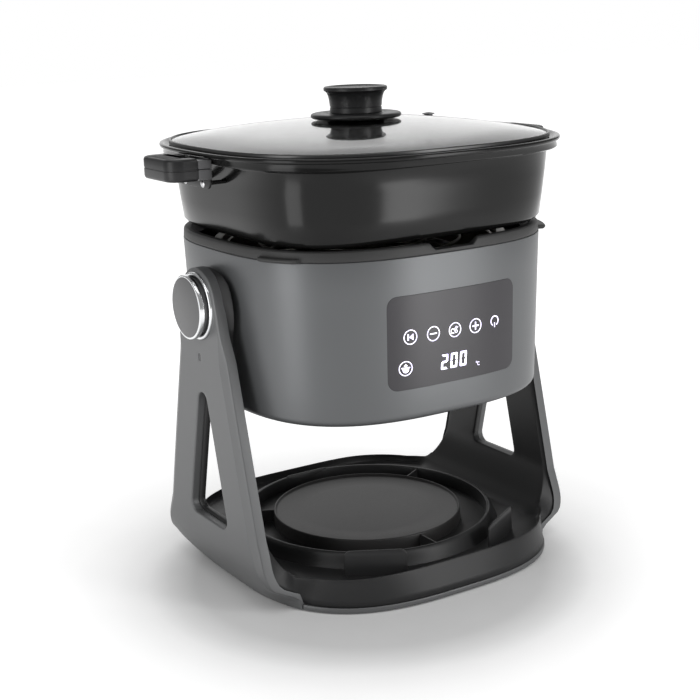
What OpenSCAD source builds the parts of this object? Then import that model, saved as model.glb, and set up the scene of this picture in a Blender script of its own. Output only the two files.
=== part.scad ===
// Tabletop multi-cooker: a heating head that turns over in a two-legged stand, a pot and a glass lid.
// Millimetres. The origin is on the table under the middle of the base. X runs along the head's pivot,
// the front faces -Y and Z points up.

/* [Base] */
// Half of the base's width at the table
base_half_x = 149; // [147:1:153]
// Half of the base's depth at the table
base_half_y = 151; // [149:1:155]
// Height of the black wall of the base
base_wall_top = 29; // [27:1:31]
// Height of the grey trim strip at the foot of the base
trim_top = 5.5; // [5:0.5:7]

/* [Stand] */
// Height of the pivot axis above the table
pivot_z = 251; // [249:1:253]
// Distance of an arm's outer face from the middle, at the pivot
arm_out = 165; // [164:1:167]
// Radius of an arm's rounded top
arm_top_r = 32.5; // [32:0.5:36]
// Sideways run of an arm's edge for each millimetre down
arm_slope = 0.252; // [0.24:0.004:0.26]

/* [Head] */
// Half of the head's width at its upper edge
head_half_x = 146.5; // [144:0.5:147]
// Half of the head's depth at its upper edge
head_half_y = 140.8; // [138:0.2:142]
// Height of the head's lower face
head_bottom = 159; // [157:0.2:163]
// Height of the grey shell's upper edge
head_top = 296.6; // [295:0.2:298]
// Wall of the head's shell
head_wall = 2.5; // [2:0.5:3]

/* [Pot] */
// Half of the pot's width over the lip
pot_half_x = 161.9; // [160:0.1:164]
// Half of the pot's depth over the lip
pot_half_y = 163.8; // [162:0.2:166]
// Height of the pot's underside
pot_bottom = 306.5; // [306.2:0.1:308]
// Height of the pot's lip
pot_top = 380.6; // [378:0.2:384]
// Distance of a handle's outer face from the middle
handle_out = 196; // [192:1:200]
// Width of a handle
handle_w = 60; // [56:2:66]

/* [Lid] */
// Height of the top of the lid's knob
knob_top = 424.3; // [422:0.1:428]
// Radius of the lid's knob
knob_r = 28; // [26:1:30]

/* [Side buttons] */
// Radius of a side button's face
button_r = 27.65; // [26:0.05:28]
// Distance of a side button's face from the middle
button_out = 175.5; // [174:0.5:177]
// Travel of a side button
button_travel = 3; // [2:0.5:3]

/* [Hidden] */
$fn = 64;

grey = "#6f7276";
black = "#26262a";
steel = "#b9bcc0";

// Points round a full plan outline
outline_n = 64;
// Roundness of the plan outlines: 2 is an ellipse, more is squarer
base_n = 2.9;
head_n = 2.87;
lip_n = 2.68;
pot_n = 3.9;

// Head: radius of the lower edge
edge_r = 7;

// Arm: the outer face leans in below this height, to this half width at the table
lean_top = 45;
lean_half_x = 146;
// Arm: thickness of the grey skin, depth of the grey cover, and place of the liner's inner face
skin = 2.4;
cover_depth = 8;
liner_in = 149;
// Arm: the strip at its foot ends here, where the trim strips begin
seam_y = 100;
strip_bottom = 1;
foot_fillet = 8;
// Arm: the triangular window
window_bottom = 58;
window_r = 8.5;
window_half = 22.9;
window_at = 110;

slope_angle = atan(arm_slope);

// Tray: the disc, the ridge round it and the three ribs between them
disc_r = 88;
ridge_r = 115;
ridge_top = 34.6;
tray_floor = 22;
clip_r = 137;
clip_top = 45;
// Height of the indicator's middle on the left arm
indicator_z = 206;

// Pivot: trunnion, bush and button stem
trunnion_r = 9;
bush_r = 12;
stem_r = 5;
running = 0.05;

// Lid and pot
lid_half_x = 154;
lid_half_y = 155;
lid_edge_z = 379.6;
floor_z = 309.5;
vent_x = 104;
vent_y = 36;
vent_z = 390.4;

// Control panel: half width, half height and middle height
panel_half = 65;
panel_high = 39.5;
panel_mid = 226.5;
panel_shift = 2;
// Top of the black ring
rim_top = 305.5;
// Handle: underside, thickness and where the black grip meets the ferrule
handle_low = 359.5;
handle_high = 18.5;
handle_root = 171;
bracket_x = 158.8;

function sgn_pow(v, p) = sign(v) * pow(abs(v), p);

// Rounded-square outline: x and y half sizes, squareness, shift along y
function plan(a, b, n, cy = 0) = [for (i = [0 : outline_n - 1])
    let (t = 360 * i / outline_n) [a * sgn_pow(cos(t), 2 / n), cy + b * sgn_pow(sin(t), 2 / n)]];

// A ring of a loft at one height
function ring(z, a, b, n, cy = 0) = [for (p = plan(a, b, n, cy)) [p[0], p[1], z]];

// Points on an arc
function arc(cx, cy, r, a0, a1, steps) = [for (i = [0 : steps])
    let (a = a0 + (a1 - a0) * i / steps) [cx + r * cos(a), cy + r * sin(a)]];

// Half width of an arm at a height, measured along y
function arm_half(z) = arm_top_r / cos(slope_angle) + arm_slope * (pivot_z - z);

// Half width of the arm's plan outline at a height
function lean(z) = z >= lean_top ? arm_out
    : lean_half_x + (arm_out - lean_half_x) * (1 - pow(1 - z / lean_top, 2.2));

// Squareness of the arm's plan outline: round at the table, nearly flat higher up
function arm_n(z) = min(6.5, 3 + 0.11 * max(0, z - 3));

// Distance of the arm's outer face from the middle
function face_x(y, z) = lean(z) * pow(1 - pow(abs(y) / 150, arm_n(z)), 1 / arm_n(z));

// Inner face of the liner: it comes in to the tray's wall near the table
function inner_x(z) = z >= 62 ? liner_in : liner_in - 13 * pow((62 - z) / 33, 1.6);

// A closed solid through rings that have the same number of points, each ring listed the same way round
module loft(rings) {
    m = len(rings[0]);
    k = len(rings);
    points = [for (r = rings) for (p = r) p];
    sides = [for (j = [0 : k - 2]) for (i = [0 : m - 1])
        let (a = j * m + i, b = j * m + (i + 1) % m)
        each [[a, a + m, b], [b, a + m, b + m]]];
    polyhedron(points, concat([[for (i = [0 : m - 1]) i]], sides,
        [[for (i = [m - 1 : -1 : 0]) (k - 1) * m + i]]), convexity = 8);
}

// Turns a shape drawn in (y, z) into a block from x0 to x1
module along_x(x0, x1) {
    translate([x0, 0, 0]) rotate([90, 0, 90]) linear_extrude(x1 - x0) children();
}

// Depth below an arm's outer face, which the tray's wall limits near the table
function depth(z, d) = min(d, z < 6 ? 3.6 : 3.6 + 0.75 * (z - 6));

// Heights and positions along the arm at which its layers are drawn
arm_heights = [0, 6, 13, 21, 32, 45, 170, 300];
arm_ys = [-112, -96, -80, -62, -42, -20, 0, 20, 42, 62, 80, 96, 112];
upper_heights = [base_wall_top - 0.1, 36, 45, 170, 300];

// The layer of an arm between two depths below its outer face
module arm_layer(heights, d0, d1) {
    back = [for (i = [len(arm_ys) - 1 : -1 : 0]) arm_ys[i]];
    loft([for (z = heights) concat(
        [for (y = arm_ys) [face_x(y, z) - d0, y, z]],
        [for (y = back) [face_x(y, z) - depth(z, d1), y, z]])]);
}

// The arm's outline in (y, z), moved inwards by inset
module arm_outline(inset = 0) {
    r = arm_top_r - inset;
    top = arc(0, pivot_z, r, slope_angle, 180 - slope_angle, 16);
    line_y = arm_half(trim_top) - inset / cos(slope_angle);
    run = foot_fillet * tan((90 - slope_angle) / 2);
    fillet = arc(line_y + run, trim_top + foot_fillet, foot_fillet, 180 + slope_angle, 270, 6);
    foot = [[seam_y, trim_top], [seam_y, strip_bottom]];
    right = concat([for (p = fillet) if (p[0] < seam_y) p], foot);
    left = [for (i = [len(right) - 1 : -1 : 0]) [-right[i][0], right[i][1]]];
    polygon(concat(left, [for (i = [16 : -1 : 0]) top[i]], right));
}

// The window in (y, z), moved outwards by grow
module window(grow = 0) {
    r = window_r + grow;
    slope_r = r / cos(slope_angle);
    edge = window_half + grow / cos(slope_angle);
    tip_z = window_at + (edge - slope_r) / arm_slope;
    corner_z = window_bottom - grow + r;
    corner_y = edge + arm_slope * (window_at - corner_z) - slope_r;
    polygon(concat(arc(0, tip_z, r, slope_angle, 180 - slope_angle, 8),
        arc(-corner_y, corner_z, r, 180 - slope_angle, 270, 6),
        arc(corner_y, corner_z, r, 270, 360 + slope_angle, 6)));
}

// A grey side cover, drawn on the +X side: a skin with a rim that points inwards
module side_cover(indicator = false) {
    color(grey) difference() {
        intersection() {
            arm_layer(arm_heights, 0, cover_depth);
            along_x(100, 180) difference() {
                arm_outline();
                window();
                translate([0, pivot_z]) circle(r = 29.1);
                translate([-31, -5]) square([116, 9.5]);
                if (indicator) indicator_slot(1.5);
            }
        }
        intersection() {
            inner_layer();
            along_x(100, 180) difference() {
                arm_outline(skin);
                window(skin);
            }
        }
    }
}

// The hollow behind a side cover's skin
module inner_layer() {
    back = [for (i = [len(arm_ys) - 1 : -1 : 0]) arm_ys[i]];
    loft([for (z = concat([-5], [for (h = arm_heights) if (h > 0) h])) concat(
        [for (y = arm_ys) [face_x(y, max(z, 0)) - skin, y, z]],
        [for (y = back) [110 + 0.0004 * y * y, y, z]])]);
}

// The liner's head round the pivot in (y, z): wider than the arm and flattened
module liner_head() {
    n = 2.5;
    polygon([for (t = [0 : 7.5 : 352.5]) [39 * sgn_pow(cos(t), 2 / n), pivot_z - 7 + 38 * sgn_pow(sin(t), 2 / n)]]);
}

// A black arm liner, drawn on the +X side: an inner skin with a rim that meets the cover
module arm_liner() {
    liner_heights = [base_wall_top, 34, 40, 50, 62, 300];
    gap = cover_depth + 0.1;
    color(black) difference() {
        intersection() {
            arm_layer(upper_heights, gap, 40);
            rotate([90, 0, 0]) translate([0, 0, -120]) linear_extrude(240) polygon(concat(
                [for (z = liner_heights) [inner_x(z), z]], [[175, 300], [175, base_wall_top]]));
            along_x(100, 180) difference() {
                union() {
                    arm_outline(2.5);
                    liner_head();
                }
                window(1.5);
                translate([-150, -10]) square([300, base_wall_top + 10.1]);
            }
        }
        intersection() {
            arm_layer(upper_heights, gap - 2, 13.5);
            along_x(100, 180) difference() {
                arm_outline(6);
                window(5);
                translate([-200, -50]) square([400, 100]);
                translate([0, pivot_z]) circle(r = 17);
            }
        }
        along_x(100, 180) translate([0, pivot_z]) circle(r = bush_r);
        along_x(100, 180) for (p = arm_screw_places()) translate(p) circle(r = 1.8);
    }
}

// The black tray with its wall, its floor, the disc and the ridge round it
module base_tray() {
    wall = 3;
    top_x = 138.4;
    top_y = 137;
    top_shift = -4;
    color(black) {
        difference() {
            loft([ring(tray_floor - 3, 134, 134, base_n, -2),
                ring(trim_top + 0.1, base_half_x - 4, base_half_y - 4, base_n),
                ring(trim_top + 0.1, base_half_x - 0.9, base_half_y - 0.4, base_n),
                ring(base_wall_top, top_x, top_y, base_n, top_shift),
                ring(base_wall_top, top_x - wall, top_y - wall, base_n, top_shift),
                ring(tray_floor, top_x - wall - 1, top_y - wall - 1, base_n, top_shift)]);
            translate([0, 130, 14]) rotate([-90, 0, 0]) cylinder(r = 6.7, h = 30);
            translate([0, 147.8, 14]) rotate([-90, 0, 0]) cylinder(r = 7.8, h = 10);
        }
        rotate_extrude($fn = 96) polygon([[ridge_r - 3, tray_floor - 0.5], [ridge_r - 2.4, ridge_top - 0.8],
            [ridge_r - 1.6, ridge_top], [ridge_r, ridge_top], [ridge_r + 2.5, ridge_top - 2],
            [ridge_r + 7, tray_floor - 0.5]]);
        rotate_extrude($fn = 96) polygon([[0, tray_floor - 0.5], [disc_r, tray_floor - 0.5], [disc_r, ridge_top],
            [disc_r - 1.6, ridge_top], [disc_r - 2.2, ridge_top - 2.2], [0, ridge_top - 2.2]]);
        for (a = [30, 150, 270]) rotate(a) translate([disc_r - 1, -1, tray_floor - 0.5])
            cube([ridge_r - disc_r, 2, ridge_top - tray_floor - 1]);
        for (a = [240, 300]) rotate(a) translate([clip_r - 2, 0, 0]) tray_clip(54, clip_top);
        rotate(90) translate([ridge_r - 3, 0, 0]) tray_clip(52, ridge_top + 1);
    }
}

// A clip of the tray: a thin upright plate with rounded upper corners
module tray_clip(w, top) {
    rotate([90, 0, 90]) linear_extrude(3) polygon(concat(
        [[-w / 2 - 1, tray_floor - 0.5], [w / 2 + 1, tray_floor - 0.5]],
        arc(w / 2 - 6, top - 6, 6, 10, 90, 6), arc(-w / 2 + 6, top - 6, 6, 90, 170, 6)));
}

// The grey strip at the foot of the base, between the two side covers: s is -1 in front and 1 behind
module trim(s) {
    color(grey) intersection() {
        difference() {
            translate([0, 0, strip_bottom]) linear_extrude(trim_top - strip_bottom)
                polygon(plan(base_half_x, base_half_y, base_n));
            linear_extrude(trim_top + 1) polygon(plan(base_half_x - 3, base_half_y - 3, base_n));
        }
        translate([-200, s > 0 ? seam_y + 0.3 : -200, 0]) cube([400, 200 - seam_y - 0.3, 20]);
    }
}

// The plate that closes the base from below, with screw holes and a rim for the feet
module bottom_plate() {
    color(black) difference() {
        translate([0, 0, 2]) linear_extrude(2) polygon(plan(base_half_x - 4.5, base_half_y - 4.5, base_n));
        for (p = base_screw_places()) translate([p[0], p[1], 0]) cylinder(r = 2.1, h = 10);
        for (y = [-24 : 8 : 24]) translate([-20, y - 1.5, 0]) cube([40, 3, 10]);
    }
}

// Screws hold the bottom plate to the tray
function base_screw_places() = [for (a = [35, 90, 145, 215, 270, 325]) [118 * cos(a), 118 * sin(a)]];
module base_screws() {
    color(steel) for (p = base_screw_places()) translate([p[0], p[1], 1.2]) {
        cylinder(r = 3.6, h = 0.75);
        cylinder(r = 2, h = 17.6);
    }
}

// A rubber foot
module foot(sx, sy) {
    color("#1b1b1c") translate([sx * 98, sy * 98, 0]) cylinder(r1 = 9, r2 = 10, h = 1.96);
}

// The appliance inlet for the mains lead, at the back of the base, with its round outlet
module cord_gland() {
    color("#1a1a1c") translate([0, 0, 14]) rotate([-90, 0, 0]) difference() {
        union() {
            translate([0, 0, 136]) cylinder(r = 6.5, h = 10);
            translate([0, 0, 148.2]) cylinder(r = 7.5, h = 3.8);
            translate([0, 0, 136]) cylinder(r = 5.2, h = 16);
        }
        translate([0, 0, 130]) cylinder(r = 3.6, h = 40);
    }
}

// The mains board in the base: the board, a relay, a filter coil, a capacitor and a terminal block
module power_board() {
    color("#2f5a3a") translate([-45, 20, 7]) cube([90, 60, 1.6]);
    color("#222222") translate([-38, 28, 8.6]) cube([18, 22, 8]);
    color("#8a5a2a") translate([-6, 50, 8.6]) cylinder(r = 9, h = 7);
    color("#c9b458") translate([12, 28, 8.6]) cube([24, 10, 8]);
    color("#d8d8d0") translate([14, 60, 8.6]) cube([28, 12, 8]);
}

// A small upright slot in (y, z) for the indicator, below the pivot
module indicator_slot(r) {
    for (z = [-2, 2]) translate([0, indicator_z + z]) circle(r = r);
    translate([-r, indicator_z - 2]) square([2 * r, 4]);
}

// The light pipe of the stand's indicator, in the left arm
module indicator_light() {
    color("#1a1a20") along_x(-arm_out, skin - arm_out) indicator_slot(1.4);
}

// A pivot bush in the liner, drawn on the +X side
module pivot_bush() {
    color("#d9d4c4") along_x(liner_in + 0.2, 158.5) translate([0, pivot_z]) difference() {
        circle(r = bush_r - 0.02);
        circle(r = trunnion_r + running);
    }
}

// The bright ring round a side button, drawn on the +X side
module bezel() {
    color("#d5d7da") translate([0, 0, pivot_z]) rotate([0, 90, 0]) rotate_extrude($fn = 96)
        polygon([[25.5, 160.2], [29, 160.2], [29, 166.6], [28.2, 167.4], [26.2, 167.4], [25.5, 166.8]]);
}

// A side button, drawn on the +X side: a face, a skirt and a stem that slides inside the trunnion
module side_button() {
    back = button_out - 4.5;
    color("#8d9094") translate([0, 0, pivot_z]) rotate([0, 90, 0]) rotate_extrude($fn = 96)
        polygon([[0, 147], [stem_r - 0.6, 147], [stem_r, 147.6], [stem_r, back - 1], [23, back - 1],
            [23, 162.8], [25, 162.8], [25, back], [button_r, back], [button_r, button_out - 1.2],
            [button_r - 1.2, button_out], [0, button_out]]);
}

// The return spring behind a side button, drawn on the +X side at its pressed length
module button_spring() {
    wire = 0.55;
    coil = 7.5;
    start = 159.6;
    turns = 3;
    pitch = (button_out - 5.5 - button_travel - start - 2 * wire) / turns;
    steps = turns * 16;
    color("silver") translate([0, 0, pivot_z]) loft([for (i = [0 : steps])
        let (a = 360 * i / 16, x = start + pitch * i / 16)
        [for (q = [0 : 5]) let (r = coil + wire * cos(60 * q))
            [x - wire * sin(60 * q), r * cos(a), r * sin(a)]]]);
}

// The screws that hold a cover to its liner, drawn on the +X side
function arm_screw_places() = [[36, 150], [-36, 150], [56, 70], [-56, 70]];
module arm_screw_set() {
    for (p = arm_screw_places()) color(steel)
        translate([liner_in + 0.4, p[0], p[1]]) rotate([0, 90, 0]) cylinder(r = 1.6, h = 12.4, $fn = 24);
}

// Head shell outline at a height, moved inwards by d: a slight taper and a rounded lower edge
function head_ring(z, d) = let (t = (head_top - z) / (head_top - head_bottom),
        e = max(0, head_bottom + edge_r - z), cut = edge_r - sqrt(edge_r * edge_r - e * e) + d)
    ring(z, head_half_x - 4.9 * t - cut, head_half_y - 1.2 * t - cut, head_n);

// The grey shell of the head, open above and below
module head_shell() {
    zs = [head_bottom, head_bottom + 0.6, head_bottom + 2, head_bottom + 4.2, head_bottom + edge_r, head_top];
    back = [for (i = [len(zs) - 1 : -1 : 0]) zs[i]];
    color(grey) difference() {
        loft_ring(concat([for (z = zs) head_ring(z, 0)], [for (z = back) head_ring(z, head_wall)]));
        panel_block(panel_half, 0.15);
        for (s = [-1, 1]) translate([s * 150 - 10, 0, pivot_z]) rotate([0, 90, 0])
            cylinder(r = trunnion_r + 0.2, h = 20);
    }
}

// A closed tube-like solid: the last ring joins the first
module loft_ring(rings) {
    m = len(rings[0]);
    k = len(rings);
    polyhedron([for (r = rings) for (p = r) p], [for (j = [0 : k - 1]) for (i = [0 : m - 1])
        let (n = (j + 1) % k, a = j * m + i, b = j * m + (i + 1) % m, c = n * m + i, d = n * m + (i + 1) % m)
        each [[a, c, b], [b, c, d]]], convexity = 8);
}

// The block that the control panel takes out of the head's front: rounded corners, seen from the front
module panel_block(half, grow) {
    r = 9 + grow;
    translate([panel_shift, -120, panel_mid]) rotate([90, 0, 0]) linear_extrude(40) {
        square([2 * (half + grow), 2 * (panel_high - r + grow)], center = true);
        square([2 * (half - r + grow), 2 * (panel_high + grow)], center = true);
        for (x = [-1, 1]) for (y = [-1, 1])
            translate([x * (half + grow - r), y * (panel_high + grow - r)]) circle(r = r);
    }
}

// The dark glass of the touch panel, curved like the head's front
module control_panel() {
    color("#34353b") intersection() {
        translate([0, 0, 170]) linear_extrude(120) difference() {
            polygon(plan(head_half_x - 2.6, head_half_y - 1.1, head_n));
            polygon(plan(head_half_x - 5, head_half_y - 3.4, head_n));
        }
        panel_block(panel_half, 0);
    }
}

// The board behind the panel: board, seven-segment block and the touch springs
module display_board() {
    color("#2c5b3c") translate([-56, -127, panel_mid - 32]) cube([112, 1.6, 64]);
    color("#e8e8ea") translate([-9, -131, panel_mid - 22]) cube([30, 4, 16]);
    for (x = [-45, -22, 1, 24, 45]) color("#dddddd") translate([x, -127, panel_mid + 14]) rotate([90, 0, 0])
        cylinder(r = 5, h = 3.8, $fn = 24);
    color("#dddddd") translate([-45, -127, panel_mid - 14]) rotate([90, 0, 0]) cylinder(r = 5, h = 3.8, $fn = 24);
}

// The lower cover of the head with its air slots
module head_end_cover() {
    color("#3a3b3f") difference() {
        translate([0, 0, head_bottom + 2.2]) linear_extrude(2.8) polygon(plan(136.3, 134, head_n));
        for (x = [-60 : 12 : 60]) translate([x - 2, -42, head_bottom - 2]) cube([4, 84, 10]);
        for (x = [-100, 100]) for (y = [-100, 100]) translate([x, y, head_bottom]) cylinder(r = 1.8, h = 10);
    }
}

// The black ring on the head's upper edge, with its front notch and two corner lugs
module rim_ring() {
    color("#2b2c2f") union() {
        difference() {
            loft_ring([ring(head_top + 0.1, head_half_x - 0.3, head_half_y - 0.3, head_n),
                ring(rim_top, head_half_x - 1.2, head_half_y - 1.2, head_n),
                ring(rim_top, head_half_x - 8, head_half_y - 8, head_n),
                ring(rim_top - 3, head_half_x - 9, head_half_y - 9, head_n),
                ring(head_top + 0.1, head_half_x - 12, head_half_y - 12, head_n)]);
            translate([-20, -150, head_top + 2.5]) cube([44, 20, 20]);
        }
        for (a = [213, 327]) intersection() {
            rotate(a) translate([140, -17, head_top + 0.1]) cube([27, 34, 3.4]);
            linear_extrude(400) polygon(plan(head_half_x + 1, head_half_y + 8, 3.6));
        }
    }
}

// The steel dish that closes the heating space: a floor with the motor's hole, and a round wall
module heat_chamber() {
    color("#9a9ca0") translate([0, 0, 0]) rotate_extrude($fn = 96) polygon([[8, 240], [112, 240], [124, 250],
        [124, 293], [130, 293], [130, 294.5], [122.6, 294.5], [122.6, 250.6], [111.4, 241.4], [8, 241.4]]);
}

// The heating element: two round turns of tube and their terminals
module heating_element() {
    color("#5b5550") {
        for (r = [62, 86]) translate([0, 0, 276]) rotate_extrude($fn = 96) translate([r, 0]) circle(r = 3.2, $fn = 24);
        translate([62, 0, 276]) rotate([0, 90, 0]) cylinder(r = 3.1, h = 24, $fn = 24);
        for (a = [160, 200]) rotate(a) translate([86, 0, 242]) cylinder(r = 3, h = 34, $fn = 24);
    }
}

// The wire guard over the element
module element_guard() {
    color("#8f9296") {
        for (r = [30, 60, 90, 118]) translate([0, 0, 290]) rotate_extrude($fn = 96) translate([r, 0])
            circle(r = 1.3, $fn = 16);
        for (a = [0 : 60 : 300]) rotate(a) translate([28.8, 0, 288.2]) rotate([0, 90, 0])
            cylinder(r = 1.1, h = 93, $fn = 16);
    }
}

// The fan motor under the dish, with its shaft through the dish
module fan_motor() {
    color("#7d7f83") translate([0, 0, 0]) rotate_extrude() polygon([[0, 190], [6, 190], [6, 194], [27, 194],
        [29, 196], [29, 228], [27, 230], [7, 230], [7, 236], [0, 236]]);
}

// The bracket that hangs the motor from the dish
module motor_bracket() {
    color(steel) {
        translate([0, 0, 230.2]) difference() {
            cylinder(r = 34, h = 2);
            translate([0, 0, -1]) cylinder(r = 7.3, h = 4);
        }
        for (a = [45, 135, 225, 315]) rotate(a) translate([30, -5, 231]) cube([3, 10, 8.8]);
    }
}

// A trunnion, drawn on the +X side: a flange inside the shell and a hollow pin in the bush
module trunnion() {
    color(steel) translate([0, 0, pivot_z]) rotate([0, 90, 0]) rotate_extrude($fn = 96)
        polygon([[stem_r + 0.6, 138.2], [18, 138.2], [18, 141.6], [trunnion_r, 141.6], [trunnion_r, 158.8],
            [stem_r + 0.6, 158.8]]);
}

// The temperature sensor in the heating space
module temperature_sensor() {
    color("#c9cbce") translate([-100, 0, 262]) rotate([0, 90, 0]) {
        cylinder(r = 2.4, h = 34, $fn = 24);
        translate([0, 0, -19]) cylinder(r = 4, h = 19.5, $fn = 24);
    }
}

// Screws that hold the lower cover to the shell's bosses
module head_screws() {
    color(steel) for (x = [-100, 100]) for (y = [-100, 100]) translate([x, y, head_bottom + 0.9]) {
        cylinder(r = 3.5, h = 1.25, $fn = 24);
        cylinder(r = 1.7, h = 16, $fn = 24);
    }
}

// The stirring fan above the dish: a hub and six blades
module fan_impeller() {
    color("#a7aaae") {
        translate([0, 0, 243]) cylinder(r = 14, h = 12);
        for (a = [0 : 60 : 300]) rotate(a) translate([12, -1, 243]) rotate([24, 0, 0]) cube([40, 1.6, 13]);
        translate([0, 0, 236.2]) cylinder(r = 3, h = 8);
    }
}

// The small fan that cools the motor, on the other end of its shaft
module cooling_fan() {
    color("#2d2e31") {
        translate([0, 0, 178]) cylinder(r = 9, h = 11.6);
        for (a = [0 : 45 : 315]) rotate(a) translate([8, -0.8, 179]) rotate([30, 0, 0]) cube([24, 1.4, 9]);
    }
}

// The pot: outer wall, step under the flange, rolled lip, ledge for the lid, inner wall
module pot_shell() {
    color("#1f1f21") loft([
        ring(pot_bottom, 127, 123, pot_n), ring(pot_bottom + 1.6, 132.5, 128.5, pot_n),
        ring(pot_bottom + 5.5, 137.2, 133.1, pot_n), ring(pot_top - 11.6, 142.6, 138.6, pot_n),
        ring(pot_top - 10.6, 153, 153, 3.1), ring(pot_top - 9.6, 157, 158.5, 2.9),
        ring(pot_top - 4.4, 158, 159.8, 2.75), ring(pot_top - 3.8, pot_half_x - 0.7, pot_half_y - 0.7, lip_n),
        ring(pot_top - 2.6, pot_half_x, pot_half_y, lip_n), ring(pot_top - 0.8, pot_half_x, pot_half_y, lip_n),
        ring(pot_top, pot_half_x - 1.2, pot_half_y - 1.2, lip_n), ring(pot_top, 158, 159, lip_n),
        ring(pot_top - 2.5, 155.5, 156.5, lip_n), ring(pot_top - 2.6, 151, 151, 2.8),
        ring(pot_top - 6, 148.5, 147, 3), ring(pot_top - 12.6, 140.2, 136.2, pot_n),
        ring(pot_bottom + 8, 134.6, 130.5, pot_n), ring(floor_z, 129, 125, pot_n)]);
}

// A black pot handle, drawn on the +X side: a bar with two legs, rounded at its outer corners
module pot_handle() {
    r = 13;
    y0 = handle_w / 2;
    leg = 12;
    bar = 18;
    color("#232325") translate([0, 0, handle_low]) linear_extrude(handle_high) difference() {
        polygon(concat([[handle_root, -y0]], arc(handle_out - r, -y0 + r, r, 270, 360, 8),
            arc(handle_out - r, y0 - r, r, 0, 90, 8), [[handle_root, y0]]));
        polygon(concat([[handle_root - 1, leg - y0]], arc(handle_out - bar - 5, leg + 5 - y0, 5, 270, 360, 5),
            arc(handle_out - bar - 5, y0 - leg - 5, 5, 0, 90, 5), [[handle_root - 1, y0 - leg]]));
    }
}

// The steel bracket of a handle, drawn on the +X side: a plate, two webs to the wall and two ferrules
module handle_bracket() {
    y0 = handle_w / 2;
    high = pot_top - 4.6 - handle_low;
    color("#8f9195") {
        for (s = [-1, 1]) translate([bracket_x, s * (y0 - 6) - 6.2, handle_low + 0.4])
            cube([handle_root - bracket_x, 12.4, high - 0.4]);
        translate([bracket_x, 1 - y0, handle_low - 8]) cube([2, 2 * y0 - 2, 17]);
        for (s = [-1, 1]) translate([142.6, s * 16 - 5, handle_low - 5]) cube([bracket_x - 142, 10, 2]);
    }
}

// The rivet heads on both brackets
module handle_rivets() {
    color(steel) for (s = [-1, 1]) for (y = [-16, 16]) translate([s * (bracket_x + 2.02), y, handle_low - 4])
        rotate([0, s * 90, 0]) cylinder(r1 = 3.4, r2 = 2.4, h = 1.4, $fn = 24);
}

// The domed glass of the lid with the holes for the knob's screw and the steam vent
module lid_glass() {
    t = 3.5;
    rise = 13.1;
    s = [1, 0.93, 0.8, 0.62, 0.42, 0.2, 0.05];
    color("#9fa5a8", 0.45) difference() {
        loft(concat([for (k = [len(s) - 1 : -1 : 0]) lid_ring(s[k], rise, 0)],
            [for (k = s) lid_ring(k, rise, t)]));
        translate([0, 0, 380]) cylinder(r = 3.2, h = 30);
        translate([vent_x, vent_y, 370]) cylinder(r = 4.2, h = 40);
    }
}
function lid_ring(k, rise, t) = ring(lid_edge_z + rise * (1 - pow(k, 2.2)) + (t > 0 ? t - 1.2 * pow(k, 9) : 0),
    (lid_half_x - 2.2) * k, (lid_half_y - 2.2) * k, 2 + 0.7 * k);

// The thin steel band round the glass
module lid_band() {
    color("#55585c") loft_ring([ring(lid_edge_z - 1.2, lid_half_x - 1.9, lid_half_y - 1.9, 2.7),
        ring(lid_edge_z - 1.2, lid_half_x, lid_half_y, 2.7), ring(lid_edge_z + 3.6, lid_half_x, lid_half_y, 2.7),
        ring(lid_edge_z + 3.6, lid_half_x - 1.9, lid_half_y - 1.9, 2.7)]);
}

// The flange under the knob, which sits on the glass
module knob_seat() {
    low = 396.5;
    color("#2a2b2d") rotate_extrude($fn = 96) polygon([[3.4, low], [24, low], [25, low + 0.5], [37, low + 0.5],
        [40, low + 2.1], [40, low + 3.5], [38.2, low + 5.1], [3.4, low + 5.1]]);
}

// The black washer under the glass
module knob_washer() {
    color("#1c1c1e") translate([0, 0, 388.2]) difference() {
        cylinder(r = 25, h = 4, $fn = 96);
        translate([0, 0, -1]) cylinder(r = 3.2, h = 6);
    }
}

// The lid's knob, hollow for its screw
module lid_knob() {
    r = knob_r;
    color("#2f3032") rotate_extrude($fn = 96) polygon([[0, 412], [2.1, 412], [2.1, 401.8], [23, 401.8],
        [22.4, 404], [22.6, 410], [24.6, 418], [r - 0.6, 420], [r, 421], [r, knob_top - 1.2],
        [r - 1.2, knob_top], [r - 4, knob_top], [r - 6, knob_top - 1], [0, knob_top - 1]]);
}

// The screw that clamps the knob from inside the lid
module knob_screw() {
    color(steel) translate([0, 0, 385.8]) {
        cylinder(r = 6, h = 2.2);
        cylinder(r = 1.9, h = 25);
    }
}

// The steam vent's eyelet in the glass
module steam_vent() {
    z = vent_z;
    color(steel) translate([vent_x, vent_y, 0]) rotate_extrude() polygon([[2.2, z - 7], [4, z - 7], [4, z + 0.8],
        [5.8, z + 0.8], [5.8, z + 1.6], [2.8, z + 2.2], [2.2, z + 2.2]]);
}

// A side part and its mirror image
module left() { mirror([1, 0, 0]) children(); }

base_tray();
bottom_plate();
trim(-1);  // front_trim
trim(1);  // rear_trim
left() side_cover(indicator = true);  // left_side_cover
side_cover();  // right_side_cover
left() arm_liner();  // left_arm_liner
arm_liner();  // right_arm_liner
left() pivot_bush();  // left_pivot_bush
pivot_bush();  // right_pivot_bush
left() bezel();  // left_bezel
bezel();  // right_bezel
left() button_spring();  // left_button_spring
button_spring();  // right_button_spring
cord_gland();
power_board();
indicator_light();
foot(-1, -1);  // foot_front_left
foot(1, -1);  // foot_front_right
foot(-1, 1);  // foot_rear_left
foot(1, 1);  // foot_rear_right
base_screws();
union() { arm_screw_set(); left() arm_screw_set(); }  // arm_screws
left() side_button();  // left_button
side_button();  // right_button
head_shell();
head_end_cover();
rim_ring();
heat_chamber();
heating_element();
element_guard();
fan_motor();
motor_bracket();
control_panel();
display_board();
left() trunnion();  // left_trunnion
trunnion();  // right_trunnion
temperature_sensor();
head_screws();
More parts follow.
